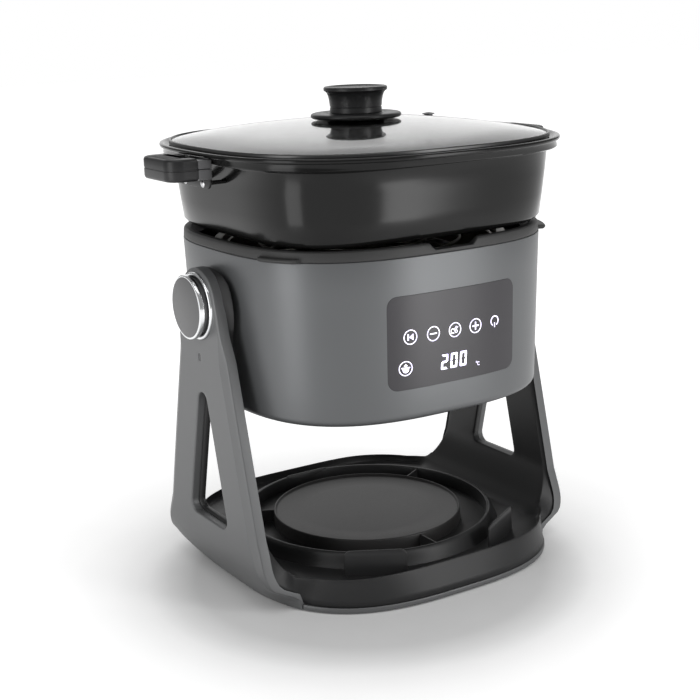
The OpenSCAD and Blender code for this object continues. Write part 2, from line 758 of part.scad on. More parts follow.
fan_impeller();
cooling_fan();
pot_shell();
left() pot_handle();  // left_pot_handle
pot_handle();  // right_pot_handle
left() handle_bracket();  // left_handle_bracket
handle_bracket();  // right_handle_bracket
handle_rivets();
lid_glass();
lid_band();
knob_seat();
knob_washer();
lid_knob();
knob_screw();
steam_vent();
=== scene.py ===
"""Looks of a turn-over multi-cooker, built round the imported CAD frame. The helpers work in millimetres."""

import math

import bmesh
import bpy
from mathutils import Matrix, Vector
from mathutils.geometry import delaunay_2d_cdt


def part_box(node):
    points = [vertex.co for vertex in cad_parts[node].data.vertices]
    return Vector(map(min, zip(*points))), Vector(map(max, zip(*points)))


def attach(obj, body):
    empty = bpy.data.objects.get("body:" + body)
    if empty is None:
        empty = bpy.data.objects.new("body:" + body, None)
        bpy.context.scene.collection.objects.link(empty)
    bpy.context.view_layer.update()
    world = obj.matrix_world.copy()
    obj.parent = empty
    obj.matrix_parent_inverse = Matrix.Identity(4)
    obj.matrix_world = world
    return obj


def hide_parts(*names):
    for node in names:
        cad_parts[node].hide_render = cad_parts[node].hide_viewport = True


MM = 0.001
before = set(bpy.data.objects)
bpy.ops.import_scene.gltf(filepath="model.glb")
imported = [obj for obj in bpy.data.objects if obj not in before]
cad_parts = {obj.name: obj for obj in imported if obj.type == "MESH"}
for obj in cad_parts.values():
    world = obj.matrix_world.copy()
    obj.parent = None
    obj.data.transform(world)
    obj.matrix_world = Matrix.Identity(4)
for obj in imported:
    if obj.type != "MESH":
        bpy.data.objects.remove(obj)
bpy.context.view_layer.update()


# ---- dimensions, in millimetres


def box_mm(node):
    """Lowest and highest corner of a CAD node."""
    low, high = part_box(node)
    return low / MM, high / MM


BUTTON = box_mm("right_button")
COVER = box_mm("right_side_cover")
SHELL = box_mm("head_shell")
RING = box_mm("rim_ring")
POT = box_mm("pot_shell")
GLASS = box_mm("lid_glass")
KNOB = box_mm("lid_knob")
SEAT = box_mm("knob_seat")
HANDLE = box_mm("right_pot_handle")
PIVOT_Z = (BUTTON[0].z + BUTTON[1].z) / 2
BUTTON_R = (BUTTON[1].z - BUTTON[0].z) / 2
BUTTON_OUT = BUTTON[1].x
ARM_OUT = COVER[1].x
ARM_TOP_R = COVER[1].z - PIVOT_Z
ARM_SLOPE = 0.252
SLOPE_COS = math.cos(math.atan(ARM_SLOPE))
STRIP_LOW = COVER[0].z
STRIP_TOP = 5.5
SEAM_Y = 100.0
LEAN_TOP = 45.0
LEAN_FOOT = 146.0
PLAN_Y = 150.0
TRAY_FLOOR = 22.0
RIM_Z = 29.0
LINER_X = 151.5
EDGE_ROUND = 1.2
SHELL_POWER = 2.87
SHELL_TAPER_X = 4.9
SHELL_TAPER_Y = 1.2
COVER_BACK = 7.3
WINDOW_R = 8.5
WINDOW_HALF = 22.9
WINDOW_AT = 110
WINDOW_LOW = 58
STRIP_A = 149
STRIP_B = 151
STRIP_POWER = 2.9


# ---- shapes


def signed_power(x, p):
    return math.copysign(abs(x) ** p, x)


def smooth(a, b, x):
    """0 below a, 1 above b, eased in between."""
    t = min(1.0, max(0.0, (x - a) / (b - a)))
    return t * t * (3 - 2 * t)


def ring(z, a, b, n, count):
    """Points of a superellipse at a height."""
    turn = [2 * math.pi * i / count for i in range(count)]
    return [(a * signed_power(math.cos(t), 2 / n), b * signed_power(math.sin(t), 2 / n), z) for t in turn]


def arc(cx, cy, r, start, end, steps):
    """Points on an arc between two angles in degrees."""
    turn = [math.radians(start + (end - start) * i / steps) for i in range(steps + 1)]
    return [(cx + r * math.cos(t), cy + r * math.sin(t)) for t in turn]


def build(name, verts, faces, body, material, replaces=(), slot=None, sharp=38, bevel=0.0):
    """A mesh piece in millimetres: joined, facing outwards, shaded smooth but for its sharp edges."""
    mesh = bpy.data.meshes.new(name)
    mesh.from_pydata([Vector(v) * MM for v in verts], [], [f for f in faces if len(set(f)) > 2])
    bm = bmesh.new()
    bm.from_mesh(mesh)
    bmesh.ops.remove_doubles(bm, verts=bm.verts, dist=0.004 * MM)
    bmesh.ops.dissolve_degenerate(bm, edges=bm.edges, dist=0.002 * MM)
    bmesh.ops.recalc_face_normals(bm, faces=bm.faces)
    bm.to_mesh(mesh)
    bm.free()
    mesh.shade_smooth()
    mesh.set_sharp_from_angle(angle=math.radians(sharp))
    piece = bpy.data.objects.new(name, mesh)
    bpy.context.scene.collection.objects.link(piece)
    mesh.materials.append(material)
    if bevel:
        cut = piece.modifiers.new("edges", "BEVEL")
        cut.width = bevel * MM
        cut.segments = 3
        cut.limit_method = "ANGLE"
        cut.angle_limit = math.radians(40)
        cut.harden_normals = True
    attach(piece, body)
    if replaces:
        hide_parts(*replaces)
    return piece


def loft(rings, closed=False, cap=True):
    """Vertices and faces through rings with the same number of points."""
    m, k = len(rings[0]), len(rings)
    verts = [p for r in rings for p in r]
    faces = []
    for j in range(k if closed else k - 1):
        n = (j + 1) % k
        for i in range(m):
            e = (i + 1) % m
            faces.append((j * m + i, j * m + e, n * m + e, n * m + i))
    if cap and not closed:
        faces.append(tuple(range(m)))
        faces.append(tuple(range((k - 1) * m, k * m)))
    return verts, faces


def lathe(profile, steps=96, closed=False):
    """Vertices and faces of an (r, z) profile turned about Z."""
    turn = [2 * math.pi * i / steps for i in range(steps)]
    rings = [[(r * math.cos(t), r * math.sin(t), z) for t in turn] for r, z in profile]
    return loft(rings, closed)


def to_x_axis(verts, side):
    """Turns a shape made about Z so that its Z points out along the pivot's axis on that side."""
    return [(side * z, -side * x, y + PIVOT_Z) for x, y, z in verts]


def mirrored(verts, side):
    """A shape drawn on the +X side, on that side."""
    return [(side * x, y, z) for x, y, z in verts]


def together(*parts):
    """Joins (verts, faces) pairs into one."""
    verts, faces = [], []
    for v, f in parts:
        start = len(verts)
        verts.extend(v)
        faces.extend(tuple(i + start for i in face) for face in f)
    return verts, faces


# ---- materials


class Nodes:
    """A short way to write one node material."""

    def __init__(self, name):
        self.material = bpy.data.materials.new(name)
        self.material.use_nodes = True
        self.tree = self.material.node_tree
        self.shader = self.tree.nodes["Principled BSDF"]
        self.place = self.add("ShaderNodeTexCoord").outputs["Object"]

    def add(self, kind, **inputs):
        node = self.tree.nodes.new(kind)
        for key, value in inputs.items():
            self.set(node, key.replace("_", " "), value)
        return node

    def set(self, node, key, value):
        socket = node.inputs[key]
        if isinstance(value, bpy.types.NodeSocket):
            self.tree.links.new(value, socket)
        else:
            socket.default_value = value

    def surface(self, **inputs):
        for key, value in inputs.items():
            self.set(self.shader, key.replace("_", " "), value)

    def noise(self, scale, detail, stretch=(1, 1, 1)):
        mapping = self.add("ShaderNodeMapping", Vector=self.place, Scale=stretch)
        node = self.add("ShaderNodeTexNoise", Vector=mapping.outputs[0], Scale=scale, Detail=detail)
        return node.outputs["Fac"]

    def ramp(self, value, stops):
        node = self.add("ShaderNodeValToRGB", Fac=value)
        elements = node.color_ramp.elements
        while len(elements) < len(stops):
            elements.new(0.5)
        for element, (at, colour) in zip(elements, stops):
            element.position = at
            element.color = (*colour, 1)
        return node.outputs["Color"]

    def span(self, value, low, high):
        return self.add("ShaderNodeMapRange", Value=value, To_Min=low, To_Max=high).outputs[0]

    def bump(self, height, distance, strength):
        return self.add("ShaderNodeBump", Height=height, Distance=distance, Strength=strength).outputs[0]


def shade(colour, amount):
    return tuple(min(1.0, c * amount) for c in colour)


def coated(name, colour, rough, metallic, vary, grain, depth, stretch=(1, 1, 1), specular=0.5):
    """A moulded, painted or plated surface: cloudy tone, fine grain and uneven gloss."""
    n = Nodes(name)
    cloud = n.noise(9.0, 4.0)
    grit = n.noise(grain, 2.0, stretch)
    tone = n.ramp(cloud, [(0.3, shade(colour, 1 - vary)), (0.7, shade(colour, 1 + vary))])
    relief = n.bump(grit, depth * MM, 0.6)
    n.surface(Base_Color=tone, Roughness=n.span(grit, rough - 0.05, rough + 0.05), Normal=relief)
    n.surface(Metallic=metallic, Specular_IOR_Level=specular)
    return n.material


def lit(name, colour, strength, halo):
    """A lit figure: its colour shifts at random between a violet halo tint and its main colour."""
    n = Nodes(name)
    glow = n.ramp(n.noise(160.0, 2.0), [(0.35, halo), (0.6, colour)])
    n.surface(Base_Color=glow, Emission_Color=glow, Emission_Strength=strength, Roughness=0.4)
    return n.material


def glass(name, tint, rough):
    """Tempered lid glass: grey tint and faint smears."""
    n = Nodes(name)
    smear = n.noise(14.0, 3.0, (1, 2.5, 1))
    tone = n.ramp(smear, [(0.2, shade(tint, 0.97)), (0.8, tint)])
    n.surface(Base_Color=tone, Roughness=n.span(smear, rough, rough + 0.03))
    n.surface(Transmission_Weight=1.0, IOR=1.45)
    return n.material


GREY = coated("grey_paint", (0.112, 0.1155, 0.119), 0.4, 0.5, 0.03, 1400.0, 0.01)
ARM_GREY = coated("arm_paint", (0.128, 0.13, 0.132), 0.45, 0.4, 0.03, 1400.0, 0.012)
BLACK = coated("black_moulding", (0.02, 0.02, 0.0205), 0.4, 0.0, 0.12, 1100.0, 0.03, specular=0.3)
DISC_BLACK = coated("disc_face", (0.03, 0.029, 0.029), 0.42, 0.0, 0.2, 700.0, 0.04, specular=0.3)
RIM_BLACK = coated("rim_moulding", (0.03, 0.03, 0.03), 0.5, 0.0, 0.1, 900.0, 0.03, specular=0.3)
COATING = coated("pot_coating", (0.005, 0.005, 0.0049), 0.18, 0.0, 0.1, 1600.0, 0.006, specular=0.22)
PHENOLIC = coated("handle_plastic", (0.012, 0.012, 0.0125), 0.36, 0.0, 0.12, 800.0, 0.03, specular=0.3)
BRIGHT = coated("bright_ring", (0.78, 0.79, 0.8), 0.16, 1.0, 0.03, 500.0, 0.004, (1, 1, 12))
CAP = coated("button_face", (0.125, 0.125, 0.127), 0.42, 0.6, 0.04, 1500.0, 0.01)
FERRULE = coated("bracket_metal", (0.1, 0.1, 0.103), 0.34, 0.7, 0.06, 900.0, 0.015)
STEEL = coated("plain_steel", (0.5, 0.5, 0.51), 0.3, 1.0, 0.05, 600.0, 0.01, (1, 8, 1))
CHAMBER = coated("chamber_steel", (0.42, 0.41, 0.39), 0.36, 1.0, 0.1, 500.0, 0.015)
HEATER = coated("heater_sheath", (0.07, 0.064, 0.058), 0.5, 0.6, 0.25, 300.0, 0.03)
RUBBER = coated("rubber", (0.014, 0.014, 0.014), 0.7, 0.0, 0.1, 600.0, 0.04)
BOARD = coated("circuit_board", (0.02, 0.12, 0.05), 0.4, 0.0, 0.15, 400.0, 0.02)
ACETAL = coated("bearing_plastic", (0.6, 0.58, 0.53), 0.4, 0.0, 0.04, 500.0, 0.01)
LENS = coated("smoked_lens", (0.012, 0.012, 0.013), 0.2, 0.0, 0.1, 500.0, 0.01)
BAND = coated("lid_band", (0.07, 0.07, 0.07), 0.3, 0.9, 0.08, 700.0, 0.01)
PANEL = coated("panel_glass", (0.03, 0.028, 0.032), 0.34, 0.0, 0.06, 900.0, 0.004, specular=0.4)
GLASS_CLEAR = glass("lid_glass", (0.95, 0.955, 0.95), 0.03)
WHITE_LIGHT = lit("lit_white", (0.95, 0.93, 1.0), 2.6, (0.62, 0.55, 1.0))
ICON_LIGHT = lit("lit_icons", (0.95, 0.93, 1.0), 1.2, (0.75, 0.7, 1.0))


# ---- stand: arms


def arm_half(z):
    """Half width of an arm's side view at a height."""
    return ARM_TOP_R / SLOPE_COS + ARM_SLOPE * (PIVOT_Z - z)


def face_x(y, z):
    """Outer face of an arm: straight above, drawn in at the foot, rounder in plan near the table."""
    share = max(0.0, 1 - z / LEAN_TOP)
    reach = LEAN_FOOT + (ARM_OUT - LEAN_FOOT) * (1 - share**2.2)
    n = min(6.5, 3 + 0.11 * max(0.0, z - 3))
    x = reach * (1 - min(1.0, abs(y) / PLAN_Y) ** n) ** (1 / n)
    ends = smooth(78, 99, abs(y)) * (1 - smooth(6, 24, z))
    return x + (STRIP_A * (1 - (abs(y) / STRIP_B) ** STRIP_POWER) ** (1 / STRIP_POWER) - x) * ends


def side_y(z):
    """The arm's edge: a slanted line that sweeps out to the strip's seam at the foot."""
    sweep_top = 60.0
    if z >= sweep_top:
        return arm_half(z)
    t = min(1.0, (sweep_top - z) / (sweep_top - STRIP_TOP))
    straight = arm_half(sweep_top) + ARM_SLOPE * (sweep_top - z)
    spare = SEAM_Y - arm_half(sweep_top) - ARM_SLOPE * (sweep_top - STRIP_TOP)
    return straight + spare * math.sin(math.pi * t / 2) ** 0.8


def arm_edge():
    """Side view of an arm's edge in (y, z), from foot to foot over the top, with normals that point in."""
    angle = math.atan(ARM_SLOPE)
    join_z = PIVOT_Z + ARM_TOP_R * math.sin(angle)
    heights = [STRIP_TOP + (60 - STRIP_TOP) * i / 14 for i in range(14)]
    heights += [60 + (join_z - 60) * i / 40 for i in range(40)]
    side = [(side_y(z), z) for z in heights]
    top = arc(0, PIVOT_Z, ARM_TOP_R, math.degrees(angle), 180 - math.degrees(angle), 28)
    line = side + top + [(-y, z) for y, z in reversed(side)]
    out = []
    for i, (y, z) in enumerate(line):
        a, b = line[max(0, i - 1)], line[min(len(line) - 1, i + 1)]
        along = Vector((b[0] - a[0], b[1] - a[1])).normalized()
        normal = Vector((-along.y, along.x))
        out.append((Vector((y, z)), normal))
    return out


def window(grow):
    """The window in (y, z), moved outwards by grow."""
    r = WINDOW_R + grow
    angle = math.degrees(math.atan(ARM_SLOPE))
    edge = WINDOW_HALF + grow / SLOPE_COS
    tip_z = WINDOW_AT + (edge - r / SLOPE_COS) / ARM_SLOPE
    corner_z = WINDOW_LOW - grow + r
    corner_y = edge + ARM_SLOPE * (WINDOW_AT - corner_z) - r / SLOPE_COS
    turns = [
        (0, tip_z, angle, 180 - angle),
        (-corner_y, corner_z, 180 - angle, 270),
        (corner_y, corner_z, 270, 360 + angle),
    ]
    corners = [arc(y, z, r, a, b, 10) for y, z, a, b in turns]
    out = []
    for i, corner in enumerate(corners):
        out += corner
        a, b = corner[-1], corners[(i + 1) % 3][0]
        out += [(a[0] + (b[0] - a[0]) * k / 8, a[1] + (b[1] - a[1]) * k / 8) for k in range(1, 8)]
    return out


def fill(outer, holes, pitch, keep):
    """Triangles between a closed outer line and closed holes in 2-D, with inner points on a grid."""
    points = [Vector(p) for p in outer]
    edges = [(i, (i + 1) % len(outer)) for i in range(len(outer))]
    for hole in holes:
        start = len(points)
        points += [Vector(p) for p in hole]
        edges += [(start + i, start + (i + 1) % len(hole)) for i in range(len(hole))]
    ys = [p[0] for p in outer]
    zs = [p[1] for p in outer]
    rows = int((max(zs) - min(zs)) / pitch) + 1
    columns = int((max(ys) - min(ys)) / pitch) + 1
    for j in range(rows):
        for i in range(columns):
            p = Vector((min(ys) + (i + 0.5 * (j % 2)) * pitch, min(zs) + j * pitch))
            if keep(p):
                points.append(p)
    loops = [outer, *holes]
    verts, _, faces, _, _, _ = delaunay_2d_cdt(points, edges, [], 0, 1e-5)

    def inside(p, loop):
        hit = False
        for k in range(len(loop)):
            (ay, az), (by, bz) = loop[k], loop[(k + 1) % len(loop)]
            if (az > p.y) != (bz > p.y) and p.x < (by - ay) * (p.y - az) / (bz - az) + ay:
                hit = not hit
        return hit

    kept = []
    for face in faces:
        middle = sum((verts[i] for i in face), Vector((0, 0))) / len(face)
        if inside(middle, loops[0]) and not any(inside(middle, hole) for hole in loops[1:]):
            kept.append(tuple(face))
    return [tuple(v) for v in verts], kept


def strip_between(loops):
    """Quads between open or closed lines with the same number of points."""
    return loft(loops, cap=False)


def distance_to(loop, p):
    return min((Vector(q[:2]) - p).length for q in loop)


def band_width(z):
    """Width of the slanted band along the arm's edge."""
    foot = 1.6 + 7.4 * smooth(8, 60, z)
    return foot - (foot - 2.7) * smooth(205, 234, z)


def cover_face(slot_hole):
    """Front surface of a side cover as (verts, faces), x from the arm's face, drawn on the +X side."""
    edge = arm_edge()
    rings = []
    for k in range(9):
        t = math.pi / 2 * k / 8
        inset, drop = EDGE_ROUND * (1 - math.cos(t)), EDGE_ROUND * (1 - math.sin(t))
        rings.append([(p + n * inset, drop) for p, n in edge])
    for share in (0.5, 1.0, 1.25):
        row = []
        for p, n in edge:
            w = band_width(p.y)
            row.append((p + n * (EDGE_ROUND + (w - EDGE_ROUND) * share), 0.0))
        rings.append(row)
    lines = []
    for row in rings:
        line = []
        for (p, n), (q, drop) in zip(edge, row):
            w = band_width(p.y)
            depth = (q - p).dot(n)
            slant = 0.36 * max(0.0, w - depth)
            line.append((face_x(q.x, q.y) - slant - drop, q.x, q.y))
        lines.append(line)
    m = len(edge)
    band_faces = []
    for j in range(len(lines) - 1):
        for i in range(m - 1):
            band_faces.append((j * m + i, j * m + i + 1, (j + 1) * m + i + 1, (j + 1) * m + i))
    band = ([p for line in lines for p in line], band_faces)
    # round holes and the window, each with a rolled edge
    holes, rolled = [], []

    def rolled_hole(loop_at, radius):
        loops = []
        for k in range(9):
            t = math.pi / 2 * k / 8
            loop = loop_at(radius * (1 - math.cos(t)))
            loops.append([(face_x(y, z) - radius * (1 - math.sin(t)), y, z) for y, z in loop])
        rolled.append(strip_between(loops))
        holes.append([(p[1], p[2]) for p in loops[-1]])

    rolled_hole(window, 1.6)
    rolled_hole(lambda d: arc(0, PIVOT_Z, 29.2 + d, 0, 360 - 360 / 72, 71), 0.5)
    if slot_hole:
        rolled_hole(slot_outline, 0.4)
    inner = [(p[1], p[2]) for p in lines[-1]]
    base_ys = [-SEAM_Y + 2 * SEAM_Y * i / 30 for i in range(31)]
    base = [(y, foot_z(y)) for y in base_ys]
    outer = inner + start_line(lines, True) + base + start_line(lines, False)
    keep_lines = [inner, *holes]

    def keep(p):
        if p.y < foot_z(p.x) + 2:
            return False
        if abs(p.x) > side_y(p.y) - band_width(p.y) * 1.25 - 2:
            return False
        return all(distance_to(line, p) > 3.0 for line in keep_lines)

    flat, flat_faces = fill(outer, holes, 4.5, keep)
    face = ([(face_x(y, z), y, z) for y, z in flat], flat_faces)
    return together(band, face, *rolled)


def start_line(lines, front):
    """The ends of the band's lines at the foot, from the inner line to the edge or back."""
    ends = [(line[-1][1], line[-1][2]) if front else (line[0][1], line[0][2]) for line in lines]
    return list(reversed(ends))[1:] if front else ends[:-1]


def foot_z(y):
    """Lower edge of a side cover: on the strip's line, raised along the middle of the arm."""
    raised = smooth(-45, -28, y) * (1 - smooth(72, 90, y))
    return STRIP_LOW + 3.4 * raised


def slot_outline(grow):
    """The indicator's slot in (y, z)."""
    r = 1.6 + grow
    top = arc(1, 207.6, r, 0, 180, 10)
    return top + arc(1, 204.4, r, 180, 360, 10)


def thicken_cover(verts, faces):
    """Closes a side cover's front surface with a back behind it."""
    count = len(verts)
    back = [(x - cover_depth(z), y, z) for x, y, z in verts]
    sides = {(a, b): None for face in faces for a, b in zip(face, face[1:] + face[:1])}
    rims = [(a, b) for a, b in sides if (b, a) not in sides]
    out = list(faces) + [tuple(i + count for i in reversed(f)) for f in faces]
    out += [(b, a, a + count, b + count) for a, b in rims]
    return list(verts) + back, out


def weld(verts, faces):
    """Merges points that coincide, so that borders can be found."""
    seen, index, out = {}, [], []
    for v in verts:
        key = tuple(round(c * 200) for c in v)
        if key not in seen:
            seen[key] = len(out)
            out.append(v)
        index.append(seen[key])
    mesh = bmesh.new()
    made = [mesh.verts.new(v) for v in out]
    used = set()
    for f in faces:
        ids = []
        for i in f:
            if not ids or index[i] != ids[-1]:
                ids.append(index[i])
        if ids[0] == ids[-1]:
            ids.pop()
        if len(set(ids)) < 3 or len(set(ids)) != len(ids) or frozenset(ids) in used:
            continue
        used.add(frozenset(ids))
        mesh.faces.new([made[i] for i in ids])
    bmesh.ops.recalc_face_normals(mesh, faces=mesh.faces)
    mesh.verts.index_update()
    points = [tuple(v.co) for v in mesh.verts]
    polys = [tuple(v.index for v in f.verts) for f in mesh.faces]
    mesh.free()
    return points, polys


def cover_depth(z):
    """How far a side cover's rim reaches in behind its face."""
    return min(7.6, 3.3 if z < 6 else 3.3 + 0.75 * (z - 6))


def side_cover(side):
    name = ("left" if side < 0 else "right") + "_side_cover"
    verts, faces = weld(*cover_face(side < 0))
    verts, faces = thicken_cover(verts, faces)
    build(name + "_skin", mirrored(verts, side), faces, "stand", ARM_GREY, [name], "grey_cover", sharp=16)


side_cover(-1)
side_cover(1)


# ---- head, ring and panel


def head_outline(z, inset=0.0):
    """The grey shell's outline at a height: slight taper, rounded lower edge."""
    t = (SHELL[1].z - z) / (SHELL[1].z - SHELL[0].z)
    rise = max(0.0, SHELL[0].z + 7 - z)
    cut = 7 - math.sqrt(max(0.0, 49 - rise * rise)) + inset
    return ring(z, SHELL[1].x - SHELL_TAPER_X * t - cut, SHELL[1].y - SHELL_TAPER_Y * t - cut, SHELL_POWER, 192)


def front_y(x, z):
    """The shell's front face at a place."""
    t = (SHELL[1].z - z) / (SHELL[1].z - SHELL[0].z)
    a, b = SHELL[1].x - SHELL_TAPER_X * t, SHELL[1].y - SHELL_TAPER_Y * t
    return -b * (1 - (abs(x) / a) ** SHELL_POWER) ** (1 / SHELL_POWER)


def head_skin():
    """The shell, open above and below, with a rolled lower edge."""
    low, high = SHELL[0].z, SHELL[1].z
    drops = [low + 7 * (1 - math.cos(math.pi / 2 * i / 8)) for i in range(8)]
    heights = [*drops, low + 7, low + 30, low + 70, low + 110, high - 0.8]
    rings = [head_outline(z) for z in heights]
    rings += [head_outline(high - 0.2, 0.15), head_outline(high, 0.7), head_outline(high, 2.4)]
    rings += [head_outline(z, 2.5) for z in (high - 1.5, low + 90, low + 7, low + 1.2)]
    rings.append([(x, y, low) for x, y, _ in head_outline(low + 7, 9.0)])
    build("head_shell_skin", *loft(rings, closed=True), "head", GREY, ["head_shell"], "head_shell", sharp=50)


def rounded_rectangle(x0, x1, z0, z1, r):
    """A closed outline in (x, z) with points along its straight sides."""
    corners = [
        arc(x1 - r, z1 - r, r, 0, 90, 8),
        arc(x0 + r, z1 - r, r, 90, 180, 8),
        arc(x0 + r, z0 + r, r, 180, 270, 8),
        arc(x1 - r, z0 + r, r, 270, 360, 8),
    ]
    out = []
    for i, corner in enumerate(corners):
        out += corner
        a, b = corner[-1], corners[(i + 1) % 4][0]
        count = round(math.dist(a, b) / 6)
        out += [(a[0] + (b[0] - a[0]) * k / count, a[1] + (b[1] - a[1]) * k / count) for k in range(1, count)]
    return out


def panel_plate():
    """The dark panel glass: laid on the head's curved front, proud of it, with softened edges."""
    proud, depth, soft, pitch = 0.32, 2.2, 0.3, 5.0
    outline = rounded_rectangle(-63.0, 67.0, 187.0, 266.0, 9.0)
    inner = [tuple(Vector(p) + n * soft) for p, n in inward(outline)]
    flat, faces = fill(inner, [], pitch, lambda p: distance_to(inner, p) > pitch * 0.6)
    verts = [(x, front_y(x, z) - proud, z) for x, z in flat]
    count = len(verts)
    verts += [(x, front_y(x, z) + depth, z) for x, z in flat]
    out = list(faces) + [tuple(i + count for i in reversed(f)) for f in faces]
    start = len(verts)
    verts += [(x, front_y(x, z) - proud + soft, z) for x, z in outline]
    for i in range(len(inner)):
        e = (i + 1) % len(inner)
        out.append((i, e, start + e, start + i))
        out.append((start + i, start + e, count + e, count + i))
    build("panel_plate", verts, out, "head", PANEL, ["control_panel"], "panel_glass", sharp=35)


def inward(outline):
    """Points of a closed outline with unit normals that point in."""
    area = sum(a[0] * b[1] - b[0] * a[1] for a, b in zip(outline, outline[1:] + outline[:1]))
    out = []
    for i, p in enumerate(outline):
        a, b = outline[i - 1], outline[(i + 1) % len(outline)]
        along = Vector((b[0] - a[0], b[1] - a[1])).normalized()
        normal = Vector((-along.y, along.x)) * (1 if area > 0 else -1)
        out.append((p, normal))
    return out


def stroke(line, width):
    """Both sides of a line drawn with a pen of that width in (x, z)."""
    left, right = [], []
    last = len(line) - 1
    for i, p in enumerate(line):
        a, b = line[max(0, i - 1)], line[min(last, i + 1)]
        along = Vector((b[0] - a[0], b[1] - a[1])).normalized()
        normal = Vector((-along.y, along.x)) * width / 2
        left.append(tuple(Vector(p) + normal))
        right.append(tuple(Vector(p) - normal))
    return left, right


def ring_icon(cx, cz, r, width, start=0, end=360):
    """A circle or an arc as a list of outlines."""
    steps = 40
    line = arc(cx, cz, r, start, end, steps)
    left, right = stroke(line, width)
    return [left[i : i + 2] + [right[i + 1], right[i]] for i in range(steps)]


def bar(a, b, width):
    left, right = stroke([a, b], width)
    return [[*left, *reversed(right)]]


def marks(name, shapes, material, proud=0.5):
    """Several small flat shapes laid on the panel as one piece."""
    parts = []
    for outline in shapes:
        m = len(outline)
        top = [(x, front_y(x, z) - proud, z) for x, z in outline]
        foot = [(x, front_y(x, z) + 0.2, z) for x, z in outline]
        faces = [tuple(range(m)), tuple(reversed(range(m, 2 * m)))]
        faces += [(i, (i + 1) % m, m + (i + 1) % m, m + i) for i in range(m)]
        parts.append((top + foot, faces))
    build(name, *together(*parts), "head", material, (), "panel_glass", sharp=35)


def panel():
    """The touch panel: dark glass, lit symbols and three figures."""
    panel_plate()
    w = 0.75
    icons = []
    # back to start
    icons += ring_icon(-42.6, 231.2, 5.9, w)
    icons += [[(-45.4, 228.6), (-44.1, 228.6), (-44.1, 233.8), (-45.4, 233.8)]]
    icons += [[(-43.9, 231.2), (-39.9, 228.4), (-39.9, 234.0)]]
    # minus, food, plus
    icons += ring_icon(-20.6, 231.0, 5.9, w) + bar((-24.0, 231.0), (-17.2, 231.0), 1.0)
    icons += ring_icon(1.2, 231.0, 5.9, w)
    icons += ring_icon(-1.2, 230.4, 1.7, 0.6, 0, 300) + ring_icon(2.4, 229.6, 1.2, 0.6)
    icons += bar((0.6, 231.8), (2.8, 234.0), 0.6) + bar((2.2, 231.4), (4.4, 233.4), 0.6)
    icons += bar((-3.0, 228.3), (0.4, 228.3), 0.6)
    icons += ring_icon(22.7, 231.1, 5.9, w) + bar((19.3, 231.1), (26.1, 231.1), 1.2)
    icons += [[(22.1, 227.7), (23.3, 227.7), (23.3, 230.4), (22.1, 230.4)]]
    icons += [[(22.1, 231.8), (23.3, 231.8), (23.3, 234.5), (22.1, 234.5)]]
    # power, upside down like the rest of the head's front
    icons += ring_icon(43.9, 231.9, 4.1, 0.95, -60, 240) + bar((43.9, 226.4), (43.9, 230.4), 0.95)
    # pot
    icons += ring_icon(-47.3, 205.4, 5.9, w)
    pot = arc(-47.3, 204.6, 3.0, 200, 340, 8)
    icons += [[*pot, (-44.1, 206.4), (-50.5, 206.4)]]
    icons += bar((-51.4, 205.9), (-43.2, 205.9), 0.8)
    icons += bar((-48.9, 207.6), (-45.7, 207.6), 0.8) + [arc(-47.3, 208.5, 0.7, 0, 324, 9)]
    marks("panel_symbols", icons, ICON_LIGHT)
    # figures
    figures = []
    for cx, on in ((-9.6, "abged"), (0.0, "abcdef"), (9.6, "abcdef")):
        figures += figure(cx, 205.25, 6.6, 12.6, 1.7, on)
    marks("panel_figures", figures, WHITE_LIGHT, 0.55)
    unit = ring_icon(23.9, 199.6, 0.6, 0.35) + ring_icon(26.1, 198.0, 1.3, 0.5, 50, 310)
    marks("panel_unit", unit, ICON_LIGHT)


def figure(cx, cz, w, h, t, on):
    """Seven-segment strokes with mitred ends, slightly slanted."""
    gap = 0.25
    x, z = w / 2, h / 2
    flat = [(-x + gap, z), (x - gap, z), (x - t, z - t), (-x + t, z - t)]
    upright = [(x, z - gap), (x, gap), (x - t / 2, gap / 2), (x - t, t / 2 + gap), (x - t, z - t - gap)]
    half = [(-x + t, t / 2), (-x + t / 2, 0), (-x + t, -t / 2)]
    cuts = {"a": flat, "b": upright, "g": half + [(-px, pz) for px, pz in reversed(half)]}
    for new, old, sx, sz in (("d", "a", 1, -1), ("c", "b", 1, -1), ("f", "b", -1, 1), ("e", "b", -1, -1)):
        cuts[new] = [(sx * px, sz * pz) for px, pz in cuts[old]]
    return [[(cx + px + 0.06 * pz, cz + pz) for px, pz in cuts[k]] for k in on]


def rim():
    """The black ring: outer face with a soft groove, the notch in front and two corner lugs."""
    low, top = RING[0].z, RING[1].z
    notch_floor = low + 3.0
    profile = [
        (low, 0.9), (low + 1.0, 0.35), (low + 1.4, 0.3), (top - 2.2, 0.7), (top - 0.9, 1.1),
        (top, 2.2), (top, 7.0), (top - 0.8, 7.8), (top - 3.0, 9.0), (low, 12.0),
    ]
    rows = []
    for height, inset in profile:
        row = []
        for x, y, z in ring(height, SHELL[1].x - inset, SHELL[1].y - inset, SHELL_POWER, 288):
            drop = smooth(-20.2, -18.6, x) * (1 - smooth(24.6, 26.2, x)) if y < 0 else 0.0
            row.append((x, y, z - drop * max(0.0, z - notch_floor)))
        rows.append(row)
    verts, faces = together(loft(rows, closed=True), lug(-1, low), lug(1, low))
    build("rim_ring_body", verts, faces, "head", RIM_BLACK, ["rim_ring"], "rim_moulding", sharp=34)


